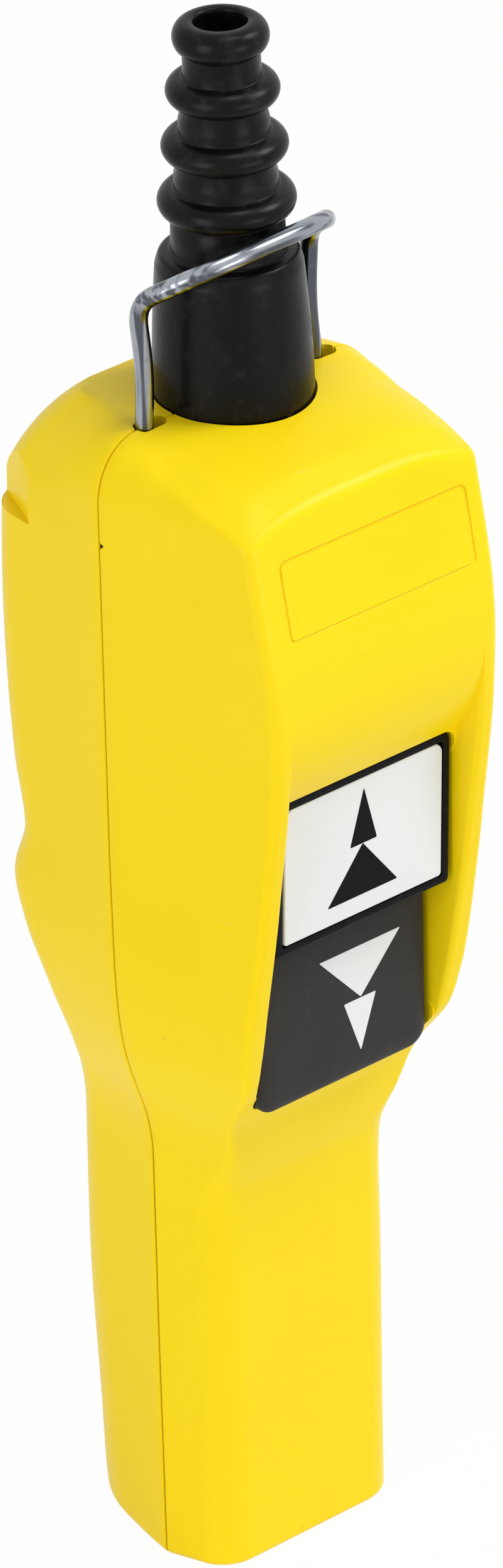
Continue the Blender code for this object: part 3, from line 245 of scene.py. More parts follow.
def black_rubber(name, sheen_edge):
    finish = Finish(name, {"Specular IOR Level": 0.12})
    cloud = finish.noise(60.0, 3.0)
    dusty = finish.noise(240.0, 4.0, 0.7).over(0.62, 0.12)
    colour = finish.blend(cloud, (0.0025, 0.0023, 0.0024), (0.0055, 0.005, 0.005))
    colour = finish.blend(dusty * sheen_edge, colour, (0.035, 0.032, 0.032))
    rings = finish.noise(1.0, 1.0, 0.5, finish.stretched((6.0, 6.0, 900.0)))
    rough = 0.24 + cloud * 0.1 + dusty * 0.16
    bumped = finish.grain(rings, 0.00002)
    bumped = finish.grain(finish.noise(1500.0, 2.0), 0.00001, bumped)
    return finish.set(Base_Color=colour, Roughness=rough, Normal=bumped).made


SLEEVE_RUBBER = black_rubber("sleeve rubber", 0.35)
SEAL_RUBBER = black_rubber("seal rubber", 0.1)
print("made", SLEEVE_RUBBER.name, "and", SEAL_RUBBER.name)

# %% [markdown]
# The bail and the screws are steel with a bright zinc coat: a mirror that is slightly blue, broken up by
# fine lines along the wire from the die that it was drawn through, with duller patches where the coat has
# aged. Dark streaks in its colour are a painted reflection, standing in for the dark reflections along
# the wire: they run up the legs of the bail and, above its bend, along the bar.

# %% Bright zinc
BEND_HEIGHT = 0.2665


def bright_zinc():
    finish = Finish("bright zinc")
    cloud = finish.noise(70.0, 3.0)
    spots = finish.noise(420.0, 3.0, 0.65).over(0.63, 0.07)
    # Painted reflection: upright and level streaks, near black in the colour, stand in for dark reflections
    # along the wire.
    upright = finish.noise(1.0, 1.0, 0.5, finish.stretched((620.0, 620.0, 14.0)))
    level = finish.noise(1.0, 1.0, 0.5, finish.stretched((14.0, 620.0, 620.0)))
    top = finish.height().over(BEND_HEIGHT, 0.002)
    dark = upright.over(0.5, 0.09) * (1.0 - top) + level.over(0.5, 0.09) * top
    colour = finish.blend(cloud, (0.27, 0.30, 0.345), (0.42, 0.435, 0.46))
    colour = finish.blend(dark * 0.82, colour, (0.035, 0.038, 0.05))
    colour = finish.blend(spots * 0.3, colour, (0.15, 0.16, 0.17))
    drawn = finish.noise(1.0, 2.0, 0.6, finish.stretched((2600.0, 2600.0, 90.0)))
    rough = 0.13 + cloud * 0.07 + spots * 0.08 + drawn * 0.06
    bumped = finish.grain(drawn, 0.000007)
    return finish.set(Base_Color=colour, Metallic=1.0, Roughness=rough, Normal=bumped).made


def turned_brass():
    finish = Finish("turned brass")
    cloud = finish.noise(130.0, 3.0)
    lines = finish.noise(1.0, 1.0, 0.5, finish.stretched((3000.0, 200.0, 3000.0)))
    colour = finish.blend(cloud, (0.52, 0.33, 0.10), (0.70, 0.49, 0.19))
    return finish.set(
        Base_Color=colour, Metallic=1.0, Roughness=0.24 + lines * 0.16, Normal=finish.grain(lines, 0.00001),
    ).made


ZINC = bright_zinc()
BRASS = turned_brass()
print("made", ZINC.name, "and", BRASS.name)

# %% [markdown]
# The other mouldings are plain engineering plastics. Each differs in its colour, its sheen and how coarse
# its grain is, so one function makes them all: black for the rim of the upper button and the carrier, white
# for its plate, dark grey for the lower button, mid grey for the contact blocks, and the two printing inks.

# %% Plain mouldings


def plain_moulding(name, dark, light, rough, grain_scale, grain_depth, dust):
    finish = Finish(name, {"Specular IOR Level": 0.08})
    cloud = finish.noise(45.0, 3.0)
    fine = finish.noise(grain_scale, 2.0)
    dusty = finish.noise(300.0, 4.0, 0.7).over(0.66, 0.09)
    colour = finish.blend(cloud, dark, light)
    colour = finish.blend(dusty * dust, colour, (0.5, 0.48, 0.44))
    sheen = rough + cloud * 0.06 + dusty * 0.1
    bumped = finish.grain(fine, grain_depth)
    return finish.set(Base_Color=colour, Roughness=sheen, Normal=bumped).made


MOULDINGS = (
    ("black moulding", (0.0022, 0.0022, 0.0026), (0.0045, 0.0045, 0.005), 0.34, 2200.0, 0.000008, 0.03),
    ("white moulding", (0.80, 0.825, 0.82), (0.85, 0.865, 0.855), 0.33, 2400.0, 0.000006, 0.02),
    ("charcoal moulding", (0.034, 0.032, 0.030), (0.046, 0.043, 0.040), 0.42, 1900.0, 0.00001, 0.03),
    ("grey moulding", (0.27, 0.28, 0.29), (0.33, 0.34, 0.345), 0.45, 1700.0, 0.00001, 0.02),
    ("black print", (0.002, 0.002, 0.0022), (0.004, 0.004, 0.0042), 0.45, 2600.0, 0.000004, 0.01),
    ("white print", (0.80, 0.80, 0.795), (0.88, 0.88, 0.87), 0.4, 2600.0, 0.000004, 0.0),
)
BLACK, WHITE, CHARCOAL, GREY, INK_BLACK, INK_WHITE = (plain_moulding(*numbers) for numbers in MOULDINGS)
print("made", BLACK.name, WHITE.name, CHARCOAL.name, GREY.name, INK_BLACK.name, INK_WHITE.name)

# %% [markdown]
# Most nodes of the CAD model stay as they are: the contacts, terminals, carrier, clamp, seal and screws
# inside are the right shape already. Each takes the finish of its slot in the record.

# %% Finishes of the CAD nodes
FINISH_OF_SLOT = {
    "housing": YELLOW, "sleeve_rubber": SLEEVE_RUBBER, "seal_rubber": SEAL_RUBBER, "zinc_steel": ZINC,
    "black_plastic": BLACK, "white_plastic": WHITE, "charcoal_plastic": CHARCOAL, "grey_plastic": GREY,
    "brass": BRASS,
}
for part in frame["record"]["subparts"]:
    for place in frame["nodes"][part["node"]].material_slots:
        place.material = FINISH_OF_SLOT[part["material_slot"]]

# %% [markdown]
# Every new piece is a grid of points worked out with numpy: rows along one direction, columns along the
# other. One helper turns a grid into faces, another closes its ends, and a third puts the result into the
# scene, on the body that carries it, with the CAD node that it stands for.

# %% From a grid to a piece


def full_turn(count):
    """Equal steps round a circle, in radians."""
    return np.linspace(0.0, 2 * math.pi, count, endpoint=False)


def distances(line):
    """How far along a line each of its points lies: the running sum of its steps."""
    return np.concatenate([[0.0], np.cumsum(np.linalg.norm(np.diff(line, axis=0), axis=1))])


def square_to(run):
    """Unit vectors square to runs (a, b): (b, -a) divided by their length."""
    return np.column_stack([run[:, 1], -run[:, 0]]) / np.linalg.norm(run, axis=1)[:, None]


def eased_corner(start, corner, end, t):
    """A quadratic blend that leaves start towards the corner and reaches end from it."""
    return (1 - t) ** 2 * start + 2 * t * (1 - t) * corner + t * t * end


def grid_faces(rows, columns, closed=False):
    """Quads of a grid numbered row by row; a closed grid joins its last column to its first."""
    row = np.arange(rows - 1)[:, None] * columns
    column = np.arange(columns if closed else columns - 1)[None, :]
    after = (column + 1) % columns
    above = row + columns
    return np.stack([row + column, row + after, above + after, above + column], axis=-1).reshape(-1, 4)


def fan_faces(ring, tip, turn):
    """Triangles from a ring of point numbers to a tip; turn reverses them."""
    ring = np.asarray(ring)
    after = np.roll(ring, -1)
    tips = np.full(len(ring), tip)
    return np.stack([after, ring, tips] if turn else [ring, after, tips], axis=-1)


def tube_mesh(grid):
    """Points and faces of rings (rows x columns x 3), closed round, with a fan over each end."""
    rows, columns = grid.shape[:2]
    points = np.vstack([grid.reshape(-1, 3), grid[0].mean(axis=0), grid[-1].mean(axis=0)])
    count = rows * columns
    first = fan_faces(np.arange(columns), count, True)
    last = fan_faces(np.arange(columns) + count - columns, count + 1, False)
    return points, grid_faces(rows, columns, True).tolist() + first.tolist() + last.tolist()


def make_mesh(name, points, faces):
    """A mesh object from points in millimetres, with its faces turned to point outwards."""
    mesh = bpy.data.meshes.new(name)
    mesh.from_pydata((np.asarray(points) * MM).tolist(), [], faces)
    shape = bmesh.new()
    shape.from_mesh(mesh)
    bmesh.ops.remove_doubles(shape, verts=shape.verts, dist=1e-7)
    bmesh.ops.recalc_face_normals(shape, faces=shape.faces)
    shape.to_mesh(mesh)
    shape.free()
    made = bpy.data.objects.new(name, mesh)
    bpy.context.scene.collection.objects.link(made)
    return made


def finish_piece(made, material, slot, body, *nodes, sharp=35.0):
    """Smooth shading up to an angle, the material, and the body and CAD nodes that the piece goes with."""
    mesh = made.data
    mesh.materials.clear()
    mesh.materials.append(material)
    mesh.shade_smooth()
    mesh.set_sharp_from_angle(angle=math.radians(sharp))
    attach(made, body)
    if nodes:
        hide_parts(*nodes)
    box = np.array(made.bound_box) / MM
    low, high = box.min(axis=0).round(1), box.max(axis=0).round(1)
    print(made.name, len(mesh.polygons), "faces, from", low, "to", high, "mm")


# %% [markdown]
# A shape such as a boss, a pocket or the window is cut from a solid, as the milling of the mould would
# leave it. The tools are grids too: an outline pushed along an axis, or a stack of outlines.

# %% Cutting tools


def pushed(outline, axis, low, high):
    """An outline of pairs pushed along an axis; the pairs are (y, z), (x, z) or (x, y)."""
    flat = np.asarray(outline, dtype=float)
    order = {"X": (2, 0, 1), "Y": (0, 2, 1), "Z": (0, 1, 2)}[axis]
    rings = np.stack([np.column_stack([flat, np.full(len(flat), level)]) for level in (low, high)])
    count = len(flat)
    faces = grid_faces(2, count, True).tolist() + [list(range(count))[::-1], list(range(count, 2 * count))]
    return rings.reshape(-1, 3)[:, order], faces


def circle(x, y, radius, count=40):
    """Points of a circle: its centre plus the radius times the cosine and sine of equal steps."""
    angle = full_turn(count)
    return np.column_stack([x + radius * np.cos(angle), y + radius * np.sin(angle)])


def tool(points, faces):
    return make_mesh("tool", points, faces)


def block(low, high):
    (x0, y0, z0), (x1, y1, z1) = low, high
    return tool(*pushed([(x0, y0), (x1, y0), (x1, y1), (x0, y1)], "Z", z0, z1))


def bar(axis, a, b, radius, low, high, count=40):
    return tool(*pushed(circle(a, b, radius, count), axis, low, high))


def carve(solid, *steps):
    """Applies cuts and joins in turn. A step is a tool, or ("UNION", tool)."""
    tools = []
    for step in steps:
        operation, other = step if isinstance(step, tuple) else ("DIFFERENCE", step)
        change = solid.modifiers.new(operation, "BOOLEAN")
        change.operation, change.solver, change.object = operation, "EXACT", other
        tools.append(other)
    bpy.context.view_layer.update()
    graph = bpy.context.evaluated_depsgraph_get()
    mesh = bpy.data.meshes.new_from_object(solid.evaluated_get(graph))
    solid.modifiers.clear()
    old, solid.data = solid.data, mesh
    bpy.data.meshes.remove(old)
    for other in tools:
        bpy.data.objects.remove(other)
    return solid


# %% [markdown]
# The housing's form is held in tables, as in the CAD source: at each height the half width at the parting
# line, and for each half how deep it is, how much its side narrows and how round its corner is. Between two
# heights a cubic carries each value, flat where the values turn, so that nothing bulges past the table.

# %% Tables of the housing
HEAD_Z = 241.9
WALL = 3.0
BASE_ROUNDING = {"seam": (2.2, 2.2), "front": (1.8, 1.8), "rear": (7.0, 6.2)}
TOP_ROUNDING = {"seam": (10.4, 12.4), "front": (3.3, 3.1), "rear": (11.8, 18.5)}
REAR_TURN_FLATNESS = 0.6
LEVEL_DEPTH, FALL_DEPTH, FALL_POWER = 8.0, 32.3, 1.6
FRONT_FALL, REAR_FALL = 5.3, 1.2
ARCH_DROP, ARCH_HALF, ARCH_POWER, ARCH_DEPTH = 3.7, 27.5, 3.4, 13.0
TOP_END_RADIUS = 10.1
LEAST_TURN, FACE_SHARE, SLOPE_STEP = 0.8, 0.92, 0.2
SEAM_STATIONS = (
    (0.0, 25.9), (20.0, 26.0), (57.0, 26.2), (84.0, 26.2), (93.0, 26.4), (100.0, 27.8), (106.0, 29.9),
    (114.0, 32.3), (121.0, 33.5), (128.0, 34.1), (142.0, 34.5), (166.0, 34.7), (242.0, 34.7),
)
STATIONS = {
    "front": (
        (0.0, 13.6, 4.3, 8.0), (58.0, 13.9, 4.3, 8.0), (78.0, 14.1, 4.5, 8.0), (84.0, 14.9, 4.5, 7.6),
        (88.0, 16.2, 4.3, 6.0), (92.0, 17.4, 4.2, 3.0), (96.0, 18.4, 4.1, 1.7), (100.0, 19.5, 4.1, 1.4),
        (104.0, 21.4, 4.4, 1.4), (108.0, 24.4, 5.0, 1.4), (112.0, 27.2, 5.3, 1.6), (120.0, 29.5, 5.4, 2.0),
        (134.0, 32.3, 5.9, 2.0), (150.0, 35.2, 6.4, 2.0), (160.0, 36.7, 6.5, 2.2), (175.0, 39.0, 6.6, 2.2),
        (185.0, 40.1, 6.6, 2.4), (195.0, 40.5, 6.3, 2.8), (205.0, 39.8, 6.0, 2.8), (215.0, 38.0, 5.7, 2.8),
        (229.4, 35.1, 5.7, 2.8), (242.0, 33.0, 5.7, 2.8),
    ),
    "rear": (
        (0.0, 29.1, 4.2, 17.0), (23.0, 28.9, 3.6, 15.5), (58.0, 28.7, 2.8, 13.0), (77.0, 28.1, 2.8, 12.0),
        (90.0, 27.4, 2.8, 11.0), (106.0, 26.7, 3.4, 10.5), (119.0, 30.1, 4.0, 10.0),
        (130.0, 34.9, 4.0, 10.0), (139.0, 36.5, 4.0, 9.0), (151.0, 32.7, 4.0, 9.0), (165.0, 35.5, 4.0, 10.0),
        (196.0, 37.5, 4.0, 10.5), (242.0, 35.4, 4.0, 10.5),
    ),
}


def along(stations, z):
    """Values at heights z: an eased step between two stations, plus bends that match the slopes at both."""
    table = np.array(stations)
    heights, values = table[:, 0], table[:, 1:]
    slope = np.diff(values, axis=0) / np.diff(heights)[:, None]
    tangent = np.vstack([slope[:1], (slope[1:] + slope[:-1]) / 2, slope[-1:]])
    tangent[1:-1][slope[1:] * slope[:-1] <= 0.0] = 0.0
    z = np.clip(z, heights[0], heights[-1])
    k = np.clip(np.searchsorted(heights, z, side="right") - 1, 0, len(heights) - 2)
    width = (heights[k + 1] - heights[k])[..., None]
    t = (z - heights[k])[..., None] / width
    bend = t * (1 - t) ** 2 * width * tangent[k] - t * t * (1 - t) * width * tangent[k + 1]
    return values[k] + (values[k + 1] - values[k]) * t * t * (3 - 2 * t) + bend


print("half width at the waist and at the head:", along(SEAM_STATIONS, np.array([84.0, 200.0]))[:, 0], "mm")

# %% [markdown]
# Each half is one surface. Its columns go round the section: up the drafted side, round the corner, across
# the face, and back down the other side. Its rows go up the housing: round the base edge, up the wall, over
# the shoulder, and in towards the sleeve. The shoulder turns each column in by its own amount, so that the
# edge is a wide roll at the parting line and a tight one at the front.

# %% The surface of one half


def section_columns(side, corner, face):
    """What each column is (0 side, 1 corner, 2 face), its share of the way along it, and its side of X."""
    kind = np.repeat([0, 1, 2], [side, corner, face])
    share = np.concatenate([np.linspace(0, 1, count, endpoint=False) for count in (side, corner, face)])
    kind = np.concatenate([kind, [2], kind[::-1]])
    share = np.concatenate([share, [1.0], share[::-1]])
    mirror = np.concatenate([np.ones(side + corner + face), [1.0], -np.ones(side + corner + face)])
    return kind, share, mirror


def half_section(z, stations, inset, columns, start_depth):
    """x and depth of every column at heights z (rows x columns): side line, corner arc, face line."""
    kind, share, mirror = columns
    depth, narrowing, radius = np.moveaxis(along(stations, z), -1, 0)
    seam = along(SEAM_STATIONS, z)[..., 0] - inset
    depth = depth - inset
    radius = np.maximum(radius - inset, 1.0)
    length = np.hypot(narrowing, depth)
    opening = np.arccos(-narrowing / length)
    trim = radius / np.tan(opening / 2)
    side_x = seam - narrowing + narrowing / length * trim
    side_y = depth - depth / length * trim
    face_x = seam - narrowing - trim
    y_on_side = start_depth + (side_y - start_depth) * share
    angle = opening - math.pi / 2 + (math.pi - opening) * share
    x_on_side = seam + (side_x - seam) * y_on_side / side_y
    x = np.choose(kind, [x_on_side, face_x + radius * np.cos(angle), face_x * (1.0 - share)])
    y = np.choose(kind, [y_on_side, depth - radius + radius * np.sin(angle), depth])
    return np.stack([x * mirror, y], axis=-1)


def top_height(x, depth, front):
    """Height of the top: level round the sleeve, falling away beyond it, and arched across the front."""
    run = np.maximum(depth - LEVEL_DEPTH, 0.0) / (FALL_DEPTH - LEVEL_DEPTH)
    if not front:
        return HEAD_Z - REAR_FALL * run ** FALL_POWER
    arch = ARCH_DROP * (np.abs(x) / ARCH_HALF) ** ARCH_POWER * np.clip(depth / ARCH_DEPTH, 0.0, 1.0)
    return HEAD_Z - FRONT_FALL * run ** FALL_POWER - arch


def turn_in(outline, half, edges, inset):
    """How far each column moves in and up where the skin turns over an edge, eased from seam to face."""
    at_seam, at_face = edges["seam"], edges[half]
    far = np.abs(outline).max(axis=0)
    share = np.clip(outline[:, 1] / (FACE_SHARE * far[1]), 0.0, 1.0)
    share = share * share * (3.0 - 2.0 * share)
    reach = np.maximum(at_seam[0] + (at_face[0] - at_seam[0]) * share - inset, LEAST_TURN)
    rise = np.maximum(at_seam[1] + (at_face[1] - at_seam[1]) * share - inset, LEAST_TURN)
    across = max(at_face[0] - inset, LEAST_TURN) * outline[:, 1] / far[1]
    return np.column_stack([reach * outline[:, 0] / far[0], across]), rise, share


def half_grid(half, inset, levels, columns, turns, start_depth):
    """Points of one half, rows up the housing by columns round the section.

    The roll over the top edge of the front stops at the angle whose slope is that of the top there, so that
    no crease is left. The rear's roll goes through 90 degrees and is flattened towards its face.
    """
    front = half == "front"
    stations = STATIONS[half]
    count = len(columns[0])

    def at(z):
        return half_section(z, stations, inset, columns, start_depth)

    foot = at(np.zeros(count))
    inward, rise, _ = turn_in(foot, half, BASE_ROUNDING, inset)
    angle = np.radians(90.0 - np.linspace(0.0, 90.0, turns))[:, None]
    foot_heights = inset + rise * (1.0 - np.sin(angle))
    base = np.dstack([foot - inward * (1.0 - np.cos(angle))[..., None], foot_heights])
    heights = np.broadcast_to(levels[:, None], (len(levels), count))
    wall = np.dstack([at(heights), heights])
    shoulder = at(np.full(count, levels[-1]))
    inward, rise, share = turn_in(shoulder, half, TOP_ROUNDING, inset)
    flat = (0.0 if front else REAR_TURN_FLATNESS) * share
    reach = np.linalg.norm(inward, axis=1)
    rim = shoulder - inward
    further = rim - inward / reach[:, None] * SLOPE_STEP
    slope = (top_height(*further.T, front) - top_height(*rim.T, front)) / SLOPE_STEP
    end = np.arctan2(rise, reach * np.maximum(slope, 0.0)) if front else np.full(count, math.pi / 2)
    rim = shoulder - inward * (1.0 - np.cos(end))[:, None]
    rim_height = top_height(*rim.T, front) - inset
    portion = np.linspace(0.0, 1.0, turns)[:, None]
    angle = portion * end
    turn = 1.0 - np.cos(angle) + flat * (portion - 1.0 + np.cos(angle))
    heights = rim_height - rise * (np.sin(end) - np.sin(angle) - flat * (portion - np.sin(angle)))
    over = np.dstack([at(heights) - inward * turn[..., None], heights])
    last = over[-1, :, :2]
    heading = np.arctan2(last[:, 1], last[:, 0])
    target = TOP_END_RADIUS * np.column_stack([np.cos(heading), np.sin(heading)])
    portion = np.linspace(0.0, 1.0, 9)[1:, None, None]
    flat = last + (target - last) * portion
    top = np.dstack([flat, top_height(flat[..., 0], flat[..., 1], front) - inset])
    grid = np.vstack([base, wall, over, top])
    grid[:, [0, -1], 1] = start_depth
    return grid


def break_edges(grid, gap, size, steps=4):
    """Rounds the edge along the parting line: extra columns that roll from the side into the flat rim."""
    edges = []
    angle = np.linspace(0.0, math.pi / 2, steps, endpoint=False)
    for column in (grid[:, 0], grid[:, -1]):
        run = np.gradient(column[:, [0, 2]], axis=0)
        out = square_to(run)
        out *= np.sign((out * (column[:, [0, 2]] - [0.0, 120.0])).sum(axis=1))[:, None]
        out[0], out[-1] = (0.0, 0.0), (0.0, 0.0)
        back = size * (1.0 - np.sin(angle))
        moved = column[:, None, [0, 2]] - out[:, None, :] * back[:, None]
        depth = np.broadcast_to(gap + size * (1.0 - np.cos(angle)), moved.shape[:2])
        edges.append(np.dstack([moved[..., 0], depth, moved[..., 1]]))
    return np.concatenate([edges[0], grid, edges[1][:, ::-1]], axis=1)


def half_solid(half, inset, levels, columns, turns, start_depth, edge=0.0):
    """A closed solid of one half: the skin, a fan over each end, and one flat face at the parting plane."""
    grid = half_grid(half, inset, levels, columns, turns, start_depth + edge)
    if edge:
        grid = break_edges(grid, start_depth, edge)
    grid = grid * np.array([1.0, -1.0 if half == "front" else 1.0, 1.0])
    rows, count = grid.shape[:2]
    total = rows * count
    low_tip = np.array([0.0, grid[0, :, 1].mean(), inset])
    high_tip = np.array([0.0, grid[-1, count // 2, 1] / 2, grid[-1, :, 2].mean()])
    points = np.vstack([grid.reshape(-1, 3), low_tip, high_tip])
    faces = grid_faces(rows, count).tolist()
    faces += fan_faces(np.arange(count), total, True).tolist()
    faces += fan_faces(np.arange(count) + total - count, total + 1, False).tolist()
    starts = np.arange(rows) * count
    faces.append(starts.tolist() + (starts + count - 1)[::-1].tolist())
    return points, faces


FINE_COLUMNS = section_columns(14, 14, 18)
FINE_LEVELS = np.concatenate([
    np.linspace(10.0, 76.0, 24), np.linspace(78.0, 160.0, 76), np.linspace(161.5, 216.0, 48),
])
ROUGH_COLUMNS = section_columns(2, 3, 2)
ROUGH_LEVELS = np.array([
    20.0, 58.0, 79.0, 91.0, 103.0, 112.5, 123.0, 134.0, 147.0, 156.0, 176.0, 194.0, 210.0,
])
print("fine skin:", len(FINE_COLUMNS[0]), "columns and", len(FINE_LEVELS), "levels of wall")

# %% [markdown]
# The front half holds the window for the buttons. Above the window a curved ramp rises to the fullest part
# of the front, and at the window's sides two guards keep a knock from pressing a button by chance. The
# inside wall of each guard leans outwards and rolls over into its crest. One stack of outlines, from the
# foot of the window to the top of the ramp, cuts all of that in one go.

# %% Tools for the window, the guards and the ramp
WINDOW_LOW, WINDOW_HIGH, WINDOW_HALF = 104.9, 175.0, 22.8
RAMP_TOP_Z = 195.2
FLOOR_DEPTH, FLOOR_CLIMB, RAMP_CLIMB, RAMP_POWER = 25.5, 8.4, 6.6, 2.2
SINK_DEPTH, SINK_FROM, SINK_TO, SINK_EASE = 5.0, 112.0, 170.5, 4.0
TOOL_FRONT = 45.5
CREST_ROUNDING = 1.3
WALL_LEAN = math.atan(0.2)
CREST_EDGE = (
    (104.9, 105.4, 106.5, 108.1, 110.0, 112.4, 130.0, 150.0, 176.0, 196.0),
    (18.2, 20.0, 21.5, 22.5, 23.1, 23.4, 23.9, 24.0, 24.1, 24.5),
)


def rounded_outline(half, low, high, low_radius, high_radius, steps=10):
    """A symmetric outline with a radius at its lower corners and another at its upper ones: (x, z)."""
    quarter = np.linspace(0.0, math.pi / 2, steps)
    x = half - low_radius + low_radius * np.sin(quarter)
    z = low + low_radius * (1.0 - np.cos(quarter))
    upper_x = half - high_radius * (1.0 - np.cos(quarter))
    upper_z = high - high_radius * (1.0 - np.sin(quarter))
    right = np.column_stack([np.concatenate([x, upper_x]), np.concatenate([z, upper_z])])
    return np.vstack([right, right[::-1] * np.array([-1.0, 1.0])])


def guard_tool():
    """Rings up from the window's foot: floor, leaning wall, roll over the crest, then outwards."""
    ramp_z = np.linspace(WINDOW_HIGH, RAMP_TOP_Z, 22)
    z = np.concatenate([np.linspace(WINDOW_LOW, WINDOW_HIGH, 40), ramp_z[1:]])
    climb = (z - WINDOW_LOW) / (WINDOW_HIGH - WINDOW_LOW)
    ramp = np.clip((z - WINDOW_HIGH) / (RAMP_TOP_Z - WINDOW_HIGH), 0.0, 1.0)
    sink = np.clip((z - SINK_FROM) / SINK_EASE, 0.0, 1.0) * np.clip((SINK_TO - z) / SINK_EASE, 0.0, 1.0)
    raised = FLOOR_DEPTH + FLOOR_CLIMB + RAMP_CLIMB * (1.0 - (1.0 - ramp) ** RAMP_POWER)
    floor = np.where(ramp <= 0.0, FLOOR_DEPTH + FLOOR_CLIMB * climb, raised) - SINK_DEPTH * sink
    crest = along(STATIONS["front"], z)[:, 0]
    wall = np.maximum(crest - floor, 0.05)
    radius = np.minimum(CREST_ROUNDING, 0.7 * wall)
    opening = math.pi / 2 + WALL_LEAN
    trim = radius / math.tan(opening / 2)
    corner = np.interp(z, *CREST_EDGE)
    foot = corner - wall * math.tan(WALL_LEAN)
    centre_x, centre_y = corner + trim, crest - radius
    angle = np.linspace(math.pi - WALL_LEAN, math.pi / 2, 9)
    arc_x = centre_x[:, None] + radius[:, None] * np.cos(angle)
    arc_y = centre_y[:, None] + radius[:, None] * np.sin(angle) + 0.012
    x = np.column_stack([foot, arc_x, arc_x[:, -1] + (TOOL_FRONT - crest)])
    y = np.column_stack([floor, arc_y, np.full(len(z), TOOL_FRONT)])
    x = np.hstack([x, -x[:, ::-1]])
    y = np.hstack([y, y[:, ::-1]])
    rings = np.dstack([x, -y, np.broadcast_to(z[:, None], x.shape)])
    rows, count = x.shape
    faces = grid_faces(rows, count, True).tolist()
    faces += [list(range(count))[::-1], list(range((rows - 1) * count, rows * count))]
    return tool(rings.reshape(-1, 3), faces)


def window_tool():
    """The window for the buttons, right through the front."""
    outline = rounded_outline(WINDOW_HALF, WINDOW_LOW, WINDOW_HIGH, 6.0, 3.0)
    return tool(*pushed(outline, "Y", -60.0, -15.0))


# %% [markdown]
# The top has a round seat for the sleeve, a throat under it, and two slots for the wire. The parting line
# has a groove for the seal. Behind, five screws sit in deep round pockets, and the upper corners are taken
# off in flat facets, each ending in a small ledge.

# %% Tools for the top, the seal and the screws
SCREW_PLACES = ((-18.5, 218.5), (18.5, 218.5), (-16.6, 84.0), (16.6, 84.0), (0.0, 24.0))
CARRIER_SCREWS = ((-14.0, 100.5), (14.0, 100.5), (-14.0, 184.0), (14.0, 184.0))
SLOT_HALF, SLOT_REACH = 1.97, 1.6
SLOT_MIDDLES = (-21.15, 21.5)
SEAL_HALF = 0.8
RELIEF_TURN, RELIEF_X, RELIEF_Y, RELIEF_LOW = 24.7, 31.85, 22.0, 217.2
WIRE_TILT = math.radians(1.5)
FOOT_DROP = 13.2


def slot_tool(middle):
    """A slot for the wire with round ends, in the top at X = middle."""
    angle = np.radians(np.linspace(-90.0, 90.0, 15))
    right = np.column_stack([SLOT_REACH + SLOT_HALF * np.cos(angle), SLOT_HALF * np.sin(angle)])
    outline = np.vstack([right, -right]) + np.array([middle, 0.0])
    return tool(*pushed(outline, "Z", HEAD_Z - 20.0, HEAD_Z + 5.0))


def seal_path(inset):
    """The parting outline, from one top end round the base to the other, moved in by the inset: (x, z)."""
    z = np.linspace(226.3, 5.6, 60)
    side = np.column_stack([along(SEAM_STATIONS, z)[:, 0], z])
    angle = np.radians(np.linspace(0.0, 90.0, 8))
    foot, turn = 25.9, 4.8
    corner = np.column_stack([foot - turn * (1.0 - np.cos(angle)), turn * (1.0 - np.sin(angle))])
    right = np.vstack([side, corner])
    path = np.vstack([right, right[::-1] * np.array([-1.0, 1.0])])
    return path + square_to(np.gradient(path, axis=0)) * inset


def groove_tool():
    """The groove for the seal, in the middle of the wall's thickness."""
    outline = np.vstack([seal_path(WALL / 2 - SEAL_HALF), seal_path(WALL / 2 + SEAL_HALF)[::-1]])
    return tool(*pushed(outline, "Y", -1.2, 1.2))


def relief_tool(side):
    """A block turned about Z, whose long face cuts the upper rear corner off."""
    turn = math.radians(RELIEF_TURN if side > 0.0 else 90.0 - RELIEF_TURN)
    flat = np.array([(0.0, 0.0), (20.0, 0.0), (20.0, 30.0), (0.0, 30.0)])
    spin = np.array([[math.cos(turn), -math.sin(turn)], [math.sin(turn), math.cos(turn)]])
    return tool(*pushed(flat @ spin.T + np.array([side * RELIEF_X, RELIEF_Y]), "Z", RELIEF_LOW, 246.0))


def shared_tools():
    """What is cut from both halves: the sleeve's seat and throat, the wire's slots and the seal's groove."""
    seat = bar("Z", 0.0, 0.0, 15.4, HEAD_Z - 2.0, HEAD_Z + 9.0, 96)
    throat = bar("Z", 0.0, 0.0, 12.4, HEAD_Z - 30.0, HEAD_Z + 5.0, 64)
    return [seat, throat, *(slot_tool(middle) for middle in SLOT_MIDDLES), groove_tool()]


def ledge_tool(side, front):
    """A block left standing inside over a foot of the bail, 0.3 mm above the wire at its highest."""
    low = HEAD_Z - FOOT_DROP + 1.75 + 0.3 + 29.5 * math.sin(WIRE_TILT)
    y = (-6.0, 20.0) if front else (-20.0, 6.0)
    x = sorted((side * 18.0, side * 39.7))
    return block((x[0], y[0], low), (x[1], y[1], HEAD_Z + 5.0))


# %% [markdown]
# The sloping field above the ramp has a fine sunk line round a bare name area, and under it the round
# witness of the gate through which the plastic came in. Both follow the skin: the depth of the skin at each
# point comes from the same tables, and a low bead is carried along the line. As a tool the bead cuts the
# line. At the parting line on the left, a chip is broken out of the edge.

# %% Tools for the sunk line and the chip, and the bead for the gate mark


def skin_depth(z):
    return along(STATIONS["front"], z)[:, 0]


